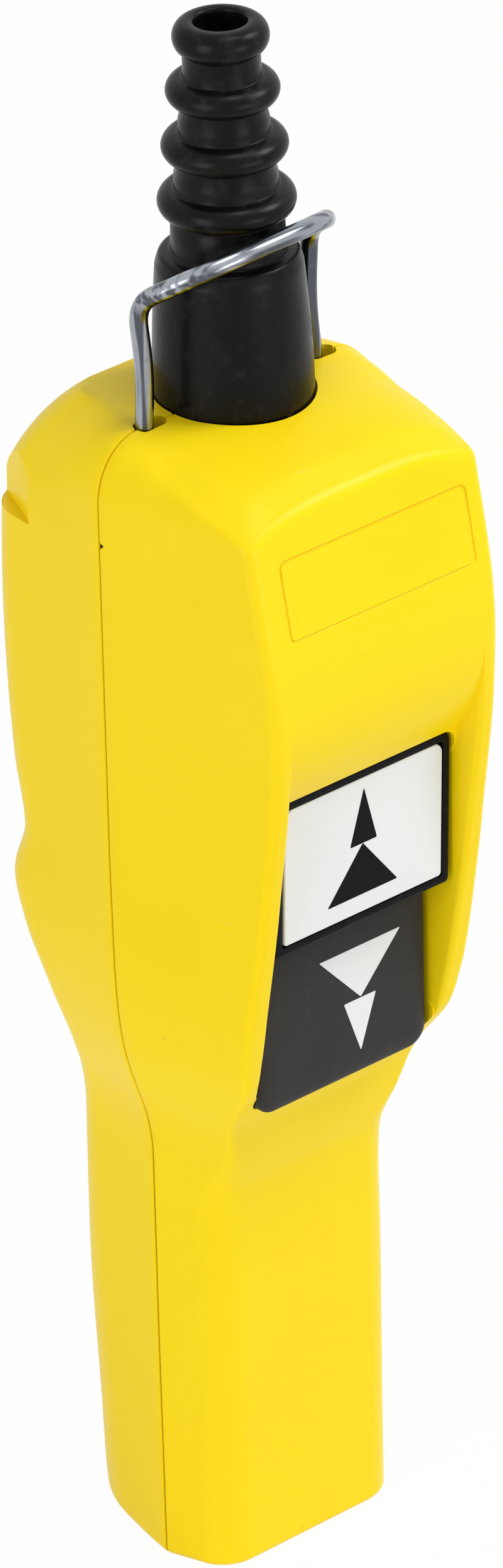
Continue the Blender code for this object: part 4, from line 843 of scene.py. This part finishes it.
def bead(name, path, width, height):
    """A low round bead along a closed path (x, z) on the front skin: an ellipse carried round it."""
    out = square_to(np.roll(path, -1, axis=0) - np.roll(path, 1, axis=0))
    angle = full_turn(12)
    flat = path[:, None] + out[:, None] * (width / 2 * np.cos(angle))[None, :, None]
    lift = np.broadcast_to(height * np.sin(angle), flat.shape[:2])
    depth = skin_depth(flat[..., 1].ravel()).reshape(flat.shape[:2])
    grid = np.dstack([flat[..., 0], -(depth + lift), flat[..., 1]])
    rows, count = grid.shape[:2]
    faces = grid_faces(rows + 1, count, True) % (rows * count)
    return make_mesh(name, grid.reshape(-1, 3), faces.tolist())


def dense(outline, count):
    """The closed outline with points at equal distances."""
    loop = np.vstack([outline, outline[:1]])
    step = distances(loop)
    even = np.linspace(0.0, step[-1], count, endpoint=False)
    return np.column_stack([np.interp(even, step, loop[:, k]) for k in range(2)])


def field_tool():
    """The sunk line round the bare field, as a bead along a rounded oblong."""
    outline = rounded_outline(23.3, 210.7, 225.9, 1.2, 1.2, 6)
    return bead("tool", dense(outline, 160) + np.array([0.9, 0.0]), 0.62, 0.36)


def chip_tool():
    """A small four-sided wedge at the left edge of the parting line."""
    rim = [(-36.0, 0.6, 223.6), (-36.0, -2.9, 221.9), (-36.0, 0.5, 219.2)]
    corners = np.array([*rim, (-32.6, 0.5, 221.3)])
    return tool(corners, [(0, 1, 2), (0, 3, 1), (1, 3, 2), (2, 3, 0)])


# %% [markdown]
# The wall is 3 mm thick. What is hollow inside each half is a smaller half of the same form, with the
# bosses, the ledges and the window's frame left standing in it. The outer skin is fine, and the hollow can
# be rough, because nobody looks in.

# %% The two half shells
FAR = 60.0
PARTING_GAP, PARTING_ROUNDING = 0.15, 0.35
FRONT_BOSS, REAR_BOSS, CARRIER_BOSS = 5.0, 6.4, 3.2
SCREW_BORE, HEAD_POCKET, SMALL_BORE = 2.2, 4.4, 1.6
CLAMP_PLACES = ((-12.0, 207.0), (12.0, 207.0))


def collar():
    """The ring of plastic left standing under the top, round the throat."""
    return bar("Z", 0.0, 0.0, 18.6, HEAD_Z - 6.0, HEAD_Z + 9.0, 48)


def bars(places, radius, low, high, count=40):
    return [bar("Y", x, z, radius, low, high, count) for x, z in places]


def outer_solid(half):
    """The fine solid of one half, kept clear of the parting plane by the gap, with its edge broken."""
    return half_solid(half, 0.0, FINE_LEVELS, FINE_COLUMNS, 18, PARTING_GAP, PARTING_ROUNDING)


def front_shell():
    """The front half: the skin less the hollow, the window, the guards' form, the seats and the bores."""
    hollow = tool(*half_solid("front", WALL, ROUGH_LEVELS, ROUGH_COLUMNS, 5, -1.0))
    low, high, top = WINDOW_LOW - WALL, WINDOW_HIGH + WALL, RAMP_TOP_Z + 1.0
    outline = [(-FAR, low), (-21.0, low), (-21.0, high), (-30.5, high), (-36.9, top), (-FAR, top)]
    stand = [tool(*pushed(outline, "X", -FAR, FAR)), collar()]
    stand += [ledge_tool(-1.0, True), ledge_tool(1.0, True)]
    stand += bars(SCREW_PLACES, FRONT_BOSS, -FAR, 20.0) + bars(CARRIER_SCREWS, CARRIER_BOSS, -FAR, -12.3)
    carve(hollow, *stand)
    shell = make_mesh("Front_shell", *outer_solid("front"))
    cuts = [window_tool(), guard_tool(), *shared_tools()]
    cuts += bars(SCREW_PLACES, SCREW_BORE, -10.3, 20.0) + bars(CARRIER_SCREWS, SMALL_BORE, -18.5, 0.0)
    return carve(shell, hollow, *cuts, field_tool(), chip_tool())


def rear_shell():
    """The rear half: the skin less the hollow, the seats, the cut-off corners, the pockets and the bores."""
    hollow = tool(*half_solid("rear", WALL, ROUGH_LEVELS, ROUGH_COLUMNS, 5, -1.0))
    clamp_seat = block((-16.0, 1.0, 202.0), (16.0, FAR, 212.0))
    stand = [collar(), clamp_seat, ledge_tool(-1.0, False), ledge_tool(1.0, False)]
    stand += bars(SCREW_PLACES, REAR_BOSS, -20.0, FAR)
    carve(hollow, *stand)
    shell = make_mesh("Rear_shell", *outer_solid("rear"))
    cuts = [*shared_tools(), relief_tool(-1.0), relief_tool(1.0)]
    cuts += bars(SCREW_PLACES, HEAD_POCKET, 9.0, FAR, 48) + bars(SCREW_PLACES, SCREW_BORE, -20.0, 10.0)
    cuts.append(bar("Z", 0.0, 0.0, 5.2, 198.0, 216.0))
    return carve(shell, hollow, *cuts, *bars(CLAMP_PLACES, SMALL_BORE, -2.0, 10.0))


finish_piece(front_shell(), YELLOW, "housing", "housing", "front_shell", sharp=28.0)
finish_piece(rear_shell(), YELLOW, "housing", "housing", "rear_shell", sharp=28.0)
gate_ring = bead("Gate_ring", circle(-5.9, 202.6, 1.1, 60), 0.45, 0.1)
finish_piece(gate_ring, YELLOW, "housing", "housing")

# %% [markdown]
# The sleeve is turned about its own axis, which leans 0.8 degrees to one side as soft rubber does. Its
# profile runs down the outside: a round lip, three rings on necks that get wider, a shoulder, a long skirt,
# the neck in the throat and the flange that locks it, then up the bore. The profile goes round the axis in
# equal steps, with two hair-thin flash lines where the halves of the mould met.

# %% The rubber sleeve
SLEEVE_TOP = HEAD_Z + 74.7
SLEEVE_LEAN = math.radians(0.8)
RINGS = ((60.9, 10.6, 7.3), (49.8, 11.8, 8.5), (38.8, 12.9, 9.7))
SKIRT = ((1.2, 7.2, 15.2, 24.0), (15.08, 15.0, 14.6, 14.0))
FLASH_HEIGHT, FLASH_WIDTH, NIB_HEIGHT, NIB_GAIN = 0.03, 0.035, 1.6, 9.0


def arc(radius_at, height_at, reach, rise, start, end, steps):
    """Points of an ellipse's arc, as (radius, height)."""
    angle = np.radians(np.linspace(start, end, steps))
    return np.column_stack([radius_at + reach * np.cos(angle), height_at + rise * np.sin(angle)])


def fillet(corner, before, after, size, steps=6):
    """A corner of a profile eased by a curve that starts and ends `size` from it."""
    corner, before, after = map(np.array, (corner, before, after))
    start = corner + (before - corner) / np.linalg.norm(before - corner) * size
    end = corner + (after - corner) / np.linalg.norm(after - corner) * size
    return eased_corner(start, corner, end, np.linspace(0.0, 1.0, steps)[:, None])


def sleeve_profile():
    """Radius and height down the outside of the sleeve and up its bore."""
    lip = SLEEVE_TOP - 3.2
    rows = [[(5.5, SLEEVE_TOP - 0.02)], arc(6.4, lip, 2.6, 3.1, 84.0, -66.0, 26)]
    rows.append(fillet((7.25, lip - 3.0), (7.46, lip - 2.83), (7.25, lip - 3.6), 0.25, 4))
    for height, radius, neck in RINGS:
        middle = HEAD_Z + height
        rows.append([(neck - 0.05, middle + 5.4), (neck, middle + 4.3)])
        upper_side, lower_side = (neck + 1.2, middle + 2.65), (neck + 1.2, middle - 2.65)
        rows.append(fillet((neck + 0.1, middle + 2.75), (neck, middle + 4.3), upper_side, 0.5))
        rows.append(arc(neck, middle, radius - neck, 2.85, 68.0, -68.0, 27))
        rows.append(fillet((neck + 0.5, middle - 2.8), lower_side, (neck + 0.4, middle - 4.3), 0.45))
    shoulder = HEAD_Z + 28.7
    rows.append([(10.6, HEAD_Z + 34.6), (10.7, HEAD_Z + 31.5)])
    rows.append(fillet((10.8, shoulder + 0.1), (10.7, HEAD_Z + 31.5), (12.0, shoulder), 0.7))
    rows.append(fillet((12.95, shoulder - 0.1), (12.0, shoulder), (13.8, HEAD_Z + 26.4), 0.8))
    rows.append(fillet((13.8, HEAD_Z + 26.3), (13.0, HEAD_Z + 28.1), (14.0, HEAD_Z + 24.0), 0.7))
    height = np.linspace(24.0, 1.2, 18)
    rows.append(np.column_stack([np.interp(height, *SKIRT), HEAD_Z + height]))
    rows.append([(15.1, HEAD_Z - 1.5), (14.9, HEAD_Z - 1.7), (12.1, HEAD_Z - 1.7), (12.1, HEAD_Z - 6.3)])
    rows.append([(16.0, HEAD_Z - 6.3), (16.0, HEAD_Z - 9.3), (9.5, HEAD_Z - 9.3), (8.7, HEAD_Z + 18.0)])
    rows.append([(5.3, HEAD_Z + 49.8), (4.9, SLEEVE_TOP - 1.5)])
    rows.append([(4.95, SLEEVE_TOP - 0.7), (5.12, SLEEVE_TOP - 0.25)])
    return np.vstack(rows)


def sleeve_mesh(steps=96):
    """The profile turned about the axis, with flash lines, then leaned about the top of the throat."""
    profile = sleeve_profile()
    angle = full_turn(steps)
    off = np.abs(angle % math.pi - math.pi / 2)
    outside = (profile[:, 1] > HEAD_Z - 1.6) & (profile[:, 0] > 6.6)
    flash = FLASH_HEIGHT * np.exp(-(off / FLASH_WIDTH) ** 2)[None, :] * outside[:, None]
    nib = np.abs(profile[:, 1] - HEAD_Z) < NIB_HEIGHT
    flash = flash * np.where(nib, NIB_GAIN, 1.0)[:, None]
    radius = profile[:, 0][:, None] + flash
    height = np.broadcast_to(profile[:, 1][:, None], radius.shape)
    grid = np.dstack([radius * np.cos(angle), radius * np.sin(angle), height])
    low = HEAD_Z - 6.0
    x, z = grid[..., 0].copy(), grid[..., 2] - low
    grid[..., 0] = x * math.cos(SLEEVE_LEAN) - z * math.sin(SLEEVE_LEAN)
    grid[..., 2] = x * math.sin(SLEEVE_LEAN) + z * math.cos(SLEEVE_LEAN) + low
    rows, count = grid.shape[:2]
    around = grid_faces(rows, count, True)
    joint = np.arange(count)
    after = (joint + 1) % count
    last = (rows - 1) * count
    closing = np.column_stack([last + joint, last + after, after, joint])
    return make_mesh("Cable_sleeve", grid.reshape(-1, 3), around.tolist() + closing.tolist())


finish_piece(sleeve_mesh(), SLEEVE_RUBBER, "sleeve_rubber", "housing", "cable_sleeve", sharp=50.0)

# %% [markdown]
# The bail is one bent wire, 3.5 mm thick. A foot lies inside the housing, the leg rises through its slot
# with a slight bow, then the wire leans forward in an arch that is squarer than a circle. Its middle line
# comes from those bends, and a circle carried along that line makes the wire. The ends are rounded over.

# %% The wire bail
WIRE_RADIUS = 1.745
SPREAD, FOOT_BEND, LEG_HEIGHT, LEG_BOW = 21.3, 3.6, 21.6, 0.75
FOOT_REACH, FOOT_LENGTH = 8.2, 4.6
ARCH_LEAN, HIP_LENGTH, ARCH_RUN = math.radians(57.0), 7.5, 19.9
SQUARENESS = 2.0 / 2.8


def bail_line():
    """Middle line: foot, bend, bowed leg, then an arch x = a cos^n, run = b sin^n that leans forward."""
    foot = np.array([[SPREAD + FOOT_REACH, 0.0, -FOOT_DROP]])
    foot = foot + np.linspace(0.0, 1.0, 6)[:, None] * [[-FOOT_LENGTH, 0.0, 0.0]]
    angle = np.radians(np.linspace(0.0, 90.0, 14))
    rise = -FOOT_DROP + FOOT_BEND * (1 - np.cos(angle))
    turn = np.column_stack([SPREAD + FOOT_BEND * (1 - np.sin(angle)), 0 * angle, rise])
    share = np.linspace(0.0, 1.0, 24)[1:]
    leg = np.column_stack([SPREAD - LEG_BOW * np.sin(math.pi * share), 0 * share, LEG_HEIGHT * share])
    angle = np.radians(np.linspace(0.0, 90.0, 70)[1:])
    x = SPREAD * np.cos(angle) ** SQUARENESS
    run = ARCH_RUN * np.sin(angle) ** SQUARENESS
    hip = HIP_LENGTH / ARCH_LEAN
    bent = np.minimum(run / HIP_LENGTH, 1.0) * ARCH_LEAN
    rest = np.maximum(run - HIP_LENGTH, 0.0)
    y = -hip * (1 - np.cos(bent)) - rest * math.sin(ARCH_LEAN)
    z = LEG_HEIGHT + hip * np.sin(bent) + rest * math.cos(ARCH_LEAN)
    x[-1] = 0.0
    half = np.vstack([foot, turn, leg, np.column_stack([x, y, z])])
    line = np.vstack([half, half[-2::-1] * [-1.0, 1.0, 1.0]])
    return resampled(line, 300)


def resampled(line, count):
    """The same line with points at equal distances, its corners eased by six rounds of averaging."""
    step = distances(line)
    keep = np.concatenate([[True], np.diff(step) > 1e-6])
    line, step = line[keep], step[keep]
    even = np.linspace(0.0, step[-1], count)
    line = np.column_stack([np.interp(even, step, line[:, k]) for k in range(3)])
    smooth = line.copy()
    for _ in range(6):
        smooth[1:-1] = (smooth[:-2] + 2 * smooth[1:-1] + smooth[2:]) / 4
    return smooth


def wire_mesh(name, line, radius, around=28):
    """A circle carried along a line: side and front directions stay square to the line's own direction."""
    run = np.gradient(line, axis=0)
    run /= np.linalg.norm(run, axis=1)[:, None]
    side = np.cross(run, [0.0, 1.0, 0.0])
    side /= np.linalg.norm(side, axis=1)[:, None]
    front = np.cross(side, run)
    step = distances(line)
    end = np.minimum(step, step[-1] - step)
    round_end = 0.8
    thin = np.where(end < round_end, 1.0 - 0.45 * (1.0 - end / round_end) ** 2, 1.0)
    angle = full_turn(around)
    ring = side[:, None] * np.cos(angle)[None, :, None] + front[:, None] * np.sin(angle)[None, :, None]
    grid = line[:, None] + ring * (radius * thin)[:, None, None]
    return make_mesh(name, *tube_mesh(grid))


def placed_bail():
    """The line tilted to one side, as the wire sits in its slots, and lifted to the top."""
    cosine, sine = math.cos(WIRE_TILT), -math.sin(WIRE_TILT)
    spin = np.array([[cosine, 0.0, sine], [0.0, 1.0, 0.0], [-sine, 0.0, cosine]])
    return bail_line() @ spin.T + np.array([-1.3, 0.0, HEAD_Z])


bail = wire_mesh("Hanger_bail", placed_bail(), WIRE_RADIUS)
finish_piece(bail, ZINC, "zinc_steel", "housing", "hanger_bail")

# %% [markdown]
# Both buttons are caps: a block with rounded edges, hollow behind, with a lip that stops it in the window
# and a stem that runs in the carrier's guide. The outside is an outline carried through a profile that rolls
# over the edge. The upper cap is black and holds a white plate in a recess, and its face leans 2 degrees
# forward. The lower cap is dark grey with big lower corners and a soft roll all round.

# %% The buttons
UPPER_TILT = math.tan(math.radians(2.0))
UPPER = {"half": 22.4, "low": 141.8, "high": 174.6, "middle": 158.2, "depth": 32.5, "tilt": UPPER_TILT}
LOWER = {"half": 21.8, "low": 105.3, "high": 140.4, "middle": 123.25, "depth": 26.3, "tilt": 0.0}
CAP_BACK, LIP_BACK, STEM_END = -18.7, -20.7, -13.5
STEM_RADIUS = 4.0
PLATE_BACK, PLATE_THICKNESS, PLATE_INSET = -31.2, 1.5, 2.3
UPPER_UNDERSIDE, LOWER_UNDERSIDE = -29.3, -23.8
LOWER_ROLL = (4.6, 1.5)
LEAST_RADIUS = 0.15


def smaller(half, low, high, low_radius, high_radius, inset):
    """The same outline moved in by an inset, its corner radii shrinking with it."""
    radii = [max(radius - inset, LEAST_RADIUS) for radius in (low_radius, high_radius)]
    return rounded_outline(half - inset, low + inset, high - inset, *radii)


def cap_rings(size, corners, back, rows, slope_from):
    """Rings of a cap: each row is (inset, distance in front of the back); rows past slope_from lean."""
    rings = []
    for inset, forward in rows:
        flat = smaller(size["half"], size["low"], size["high"], *corners, inset)
        lean = size["tilt"] * (flat[:, 1] - size["middle"]) if forward > slope_from else 0.0
        rings.append(np.column_stack([flat[:, 0], back - forward - lean + 0 * flat[:, 0], flat[:, 1]]))
    return np.stack(rings)


def edge_roll(radius, forward, steps=7):
    """Rows that roll from the side of a block over into its face."""
    angle = np.linspace(0.0, math.pi / 2, steps)
    return list(zip(radius * (1 - np.cos(angle)), forward - radius + radius * np.sin(angle)))


def closed_cap(name, rings):
    return make_mesh(name, *tube_mesh(rings))


def upper_cap():
    """The black cap: an upright side, a small roll, a rim, and the recess for the white plate."""
    reach = CAP_BACK + UPPER["depth"]
    rows = [(0.0, 0.0), (0.0, 8.0)] + edge_roll(0.7, reach) + [(1.7, reach)]
    rows += [(1.92, reach - 0.06), (2.0, reach - 0.25), (2.0, reach - 1.6), (8.0, reach - 1.6)]
    cap = closed_cap("Upper_button", cap_rings(UPPER, (1.0, 2.6), CAP_BACK, rows, 9.0))
    lip = block((-24.0, LIP_BACK, 143.0), (24.0, CAP_BACK, 176.2))
    hollow = block((-20.4, UPPER_UNDERSIDE, 143.8), (20.4, -13.7, 172.6))
    stem = bar("Y", 0.0, UPPER["middle"], STEM_RADIUS, UPPER_UNDERSIDE - 0.5, STEM_END, 36)
    return carve(cap, ("UNION", lip), hollow, ("UNION", stem))


def lower_cap():
    """The grey cap: its face rolls over to the sides in a flat ellipse."""
    reach = CAP_BACK + LOWER["depth"]
    inward, forward = LOWER_ROLL
    roll = np.linspace(0.0, math.pi / 2, 14)
    rows = [(0.0, 0.0), (0.0, 3.0)]
    rows += list(zip(inward * (1 - np.cos(roll)), reach - forward + forward * np.sin(roll)))
    cap = closed_cap("Lower_button", cap_rings(LOWER, (4.3, 1.6), CAP_BACK, rows, 99.0))
    outline = [(19.5, 104.5), (24.0, 116.7), (24.0, 139.2), (-24.0, 139.2), (-24.0, 116.7), (-19.5, 104.5)]
    lip = tool(*pushed(outline, "Y", LIP_BACK, CAP_BACK))
    hollow = block((-19.8, LOWER_UNDERSIDE, 110.1), (19.8, -13.7, 138.4))
    stem = bar("Y", 0.0, LOWER["middle"], STEM_RADIUS, LOWER_UNDERSIDE - 0.5, STEM_END, 36)
    return carve(cap, ("UNION", lip), hollow, ("UNION", stem))


def face_plate():
    """The white plate, its edge broken by a small roll, leaning with the cap."""
    rows = [(PLATE_INSET + 0.2, 0.0), (PLATE_INSET, 0.15)]
    rows += [(PLATE_INSET + inset, forward) for inset, forward in edge_roll(0.35, PLATE_THICKNESS, 5)]
    size = dict(UPPER, high=UPPER["high"] + 0.4)
    return closed_cap("Upper_button_face", cap_rings(size, (3.1, 4.4), PLATE_BACK, rows, -1.0))


finish_piece(upper_cap(), BLACK, "black_plastic", "upper_button", "upper_button")
finish_piece(lower_cap(), CHARCOAL, "charcoal_plastic", "lower_button", "lower_button")
finish_piece(face_plate(), WHITE, "white_plastic", "upper_button", "upper_button_face")

# %% [markdown]
# Behind each button a steel spring pushes it out, inside a rubber bellows that keeps water off the
# contacts. On the real station both get shorter as the button goes in; here both are built at rest, from
# the button's underside back to the carrier.

# %% The springs and the bellows
FIT = 0.3
CARRIER_FACE = -12.3
COIL_RADIUS, COIL_WIRE, COIL_TURNS = 7.6, 0.5, 5
BELLOWS_RADIUS, BELLOWS_FOLD, BELLOWS_WALL = 9.3, 1.4, 0.8


def coil_line(middle, front, steps=24):
    """Middle line of a spring along Y: a helix whose first and last turns lie a little closer together."""
    share = np.linspace(0.0, 1.0, COIL_TURNS * steps + 1)
    along = 0.35 * share * share * (3.0 - 2.0 * share) + 0.65 * share
    angle = 2 * math.pi * COIL_TURNS * share
    start, end = front + COIL_WIRE, CARRIER_FACE - COIL_WIRE
    x, z = COIL_RADIUS * np.cos(angle), middle + COIL_RADIUS * np.sin(angle)
    return np.column_stack([x, start + (end - start) * along, z])


def bellows(name, middle, front, folds, around=48):
    """A wavy tube along Y: its outside is the radius plus half the fold times 1 - cos(2 pi folds share)."""
    share = np.linspace(0.0, 1.0, folds * 12 + 1)
    outside = BELLOWS_RADIUS + BELLOWS_FOLD / 2 * (1.0 - np.cos(2 * math.pi * folds * share))
    radius = np.concatenate([outside, outside[::-1] - BELLOWS_WALL])[:, None]
    y = CARRIER_FACE + (front - CARRIER_FACE) * np.concatenate([share, share[::-1]])[:, None]
    angle = full_turn(around)[None, :]
    x, z = radius * np.cos(angle), middle + radius * np.sin(angle)
    faces = grid_faces(len(radius) + 1, around, True) % (len(radius) * around)
    return make_mesh(name, np.dstack([x, np.broadcast_to(y, x.shape), z]).reshape(-1, 3), faces.tolist())


for which, middle, front, folds in (
    ("upper", UPPER["middle"], UPPER_UNDERSIDE + FIT, 3),
    ("lower", LOWER["middle"], LOWER_UNDERSIDE + FIT, 2),
):
    coil = wire_mesh(f"{which.title()}_coil", coil_line(middle, front), COIL_WIRE, 14)
    finish_piece(coil, ZINC, "zinc_steel", "housing", f"{which}_spring")
    boot = bellows(f"{which.title()}_bellows", middle, front, folds)
    finish_piece(boot, SEAL_RUBBER, "seal_rubber", "housing", f"{which}_boot")
    for piece in (coil, boot):
        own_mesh(piece)

# %% [markdown]
# Each button carries a generic arrow of two triangles, a large one and a small one, for slow and fast.
# They are printed: a film of ink a few hundredths of a millimetre thick, black on the white plate and white
# on the grey cap.

# %% The printed arrows
INK_THICKNESS, INK_FOOT = 0.05, 0.02
BLUNTNESS = 0.35


def triangle(tip, half, base, middle, steps=3):
    """Outline of a triangle whose corners are slightly blunt: (x, z), from the base's left corner round."""
    corners = np.array([(middle - half, base), (middle + half, base), (middle, tip)])
    before, after = np.roll(corners, 1, axis=0), np.roll(corners, -1, axis=0)
    t = np.linspace(0.0, 1.0, steps + 1)[None, :, None]
    start = corners + (before - corners) / np.linalg.norm(before - corners, axis=1)[:, None] * BLUNTNESS
    end = corners + (after - corners) / np.linalg.norm(after - corners, axis=1)[:, None] * BLUNTNESS
    return eased_corner(start[:, None], corners[:, None], end[:, None], t).reshape(-1, 2)


def film(name, outline, depth, size):
    """A closed film on a button's face: the outline at the face and a hair in front of it."""
    lean = size["tilt"] * (outline[:, 1] - size["middle"])
    levels = depth - lean[None, :] - np.array([[-INK_FOOT], [INK_THICKNESS]])
    x, z = (np.broadcast_to(outline[:, k], levels.shape) for k in range(2))
    return make_mesh(name, *tube_mesh(np.dstack([x, levels, z])))


UPPER_INK, LOWER_INK = -32.7, -26.33
UPPER_ARROW = ((170.6, 3.4, 158.9, -0.1), (158.9, 8.9, 148.0, -0.3))
LOWER_ARROW = ((122.0, 10.4, 133.0, 4.2), (110.6, 4.1, 121.8, 4.0))
for number, (tip, half, base, middle) in enumerate(UPPER_ARROW, 1):
    mark = film(f"Upper_arrow_{number}", triangle(tip, half, base, middle), UPPER_INK, UPPER)
    finish_piece(mark, INK_BLACK, "black_plastic", "upper_button")
for number, (tip, half, base, middle) in enumerate(LOWER_ARROW, 1):
    mark = film(f"Lower_arrow_{number}", triangle(tip, half, base, middle), LOWER_INK, LOWER)
    finish_piece(mark, INK_WHITE, "white_plastic", "lower_button")

# %% [markdown]
# The photograph was taken from the front left, from above, through a long lens. The camera's axes and place
# come from fitting the corners of the housing, so that the edges of the render fall where the photograph has
# them.

# %% The camera
SPOT = (-1260.892, -1402.216, 1151.135)
FOCAL_PIXELS, HEIGHT_PIXELS, SENSOR = 18000.0, 2493.0, 36.0
RIGHT = (0.7346768, -0.6780163, -0.0233207)
UP = (0.3310317, 0.3282663, 0.8846803)
BACK = (-0.5921723, -0.6576740, 0.4656145)
camera = bpy.data.objects.new("camera", bpy.data.cameras.new("camera"))
bpy.context.scene.collection.objects.link(camera)
turn = Matrix((RIGHT, UP, BACK)).transposed().to_4x4()
camera.matrix_world = Matrix.Translation(Vector(SPOT) * MM) @ turn
camera.data.sensor_fit = "VERTICAL"
camera.data.sensor_height = SENSOR
camera.data.lens = FOCAL_PIXELS / HEIGHT_PIXELS * SENSOR
camera.data.clip_start, camera.data.clip_end = 0.05, 30.0
bpy.context.scene.camera = camera
print("lens", round(camera.data.lens, 1), "mm, at", [round(v, 3) for v in camera.location], "m")

# %% [markdown]
# The light is plain and soft, as in a small product studio: a key lamp high at the front right, a wide
# softbox low in front, another on the left, a lamp overhead, and an even white surround. The floor is a pale
# disc that keeps the shadow. To the camera the surround and the floor are white.

# %% The floor and the light
FLOOR_SIDES = 64
SURROUND_GLOW = 0.42
LAMPS = (
    ("key", (0.75, -0.55, 1.15), (0.0, 0.0, 0.16), 0.45, 0.45, 8.0),
    ("front", (0.1, -1.3, 0.12), (0.0, 0.0, 0.12), 0.6, 0.7, 4.4),
    ("left", (-1.22, -0.18, 0.42), (0.0, 0.0, 0.12), 0.6, 0.9, 5.6),
    ("top", (0.1, -0.3, 1.45), (0.0, 0.0, 0.2), 0.4, 0.4, 3.2),
)


def floor_mesh():
    """A flat disc as rings of growing radius round the origin, closed in the middle."""
    radius = np.array([0.02, 0.1, 0.3, 0.6, 1.2, 2.4, 5.0]) / MM
    angle = full_turn(FLOOR_SIDES)
    x, y = radius[:, None] * np.cos(angle), radius[:, None] * np.sin(angle)
    points = np.vstack([np.dstack([x, y, 0 * x - 0.05]).reshape(-1, 3), [[0.0, 0.0, -0.05]]])
    rings = grid_faces(len(radius), FLOOR_SIDES, True)
    middle = fan_faces(np.arange(FLOOR_SIDES), len(points) - 1, True)
    return make_mesh("Floor", points, rings.tolist() + middle.tolist())


def seen_directly(tree):
    """1 for rays from the camera, from a glossy surface or through glass, and 0 for the light itself."""
    path = tree.node("ShaderNodeLightPath")
    seen = path.value("Is Camera Ray") + path.value("Is Glossy Ray") + path.value("Is Transmission Ray")
    return seen.maths("MINIMUM", seen, 1.0)


def floor_finish():
    finish = Finish("pale floor", {"Roughness": 0.8, "Specular IOR Level": 0.2})
    cloud = finish.noise(3.0, 2.0)
    finish.set(Base_Color=finish.blend(cloud, (0.86, 0.86, 0.86), (0.88, 0.88, 0.88)))
    lit = Value(finish, finish.shader.outputs["BSDF"])
    glow = finish.node("ShaderNodeEmission", {}, {"Color": (1.0, 1.0, 1.0), "Strength": 1.0})
    mixed = finish.node("ShaderNodeMixShader", {}, {0: seen_directly(finish) * 0.97, 1: lit, 2: glow})
    finish.feed(finish.nodes["Material Output"].inputs["Surface"], mixed)
    return finish.made


def softbox(name, spot, aim, width, height, watts):
    """An area lamp at a spot in metres that faces an aim."""
    lamp = bpy.data.lights.new(name, "AREA")
    lamp.shape, lamp.size, lamp.size_y, lamp.energy = "RECTANGLE", width, height, watts
    made = bpy.data.objects.new(name, lamp)
    bpy.context.scene.collection.objects.link(made)
    made.location = spot
    made.rotation_euler = (Vector(aim) - Vector(spot)).to_track_quat("-Z", "Y").to_euler()


floor = floor_mesh()
floor.data.materials.append(floor_finish())
for lamp in LAMPS:
    softbox(*lamp)

world = bpy.data.worlds.new("surround")
bpy.context.scene.world = world
surround = Tree(world)
background = surround.nodes["Background"]
background.inputs["Color"].default_value = (1.0, 1.0, 1.0, 1.0)
brightness = SURROUND_GLOW + seen_directly(surround) * (1.0 - SURROUND_GLOW)
surround.feed(background.inputs["Strength"], brightness)
bpy.context.scene.view_settings.view_transform = "Standard"
print(len(LAMPS), "lamps and a white surround")
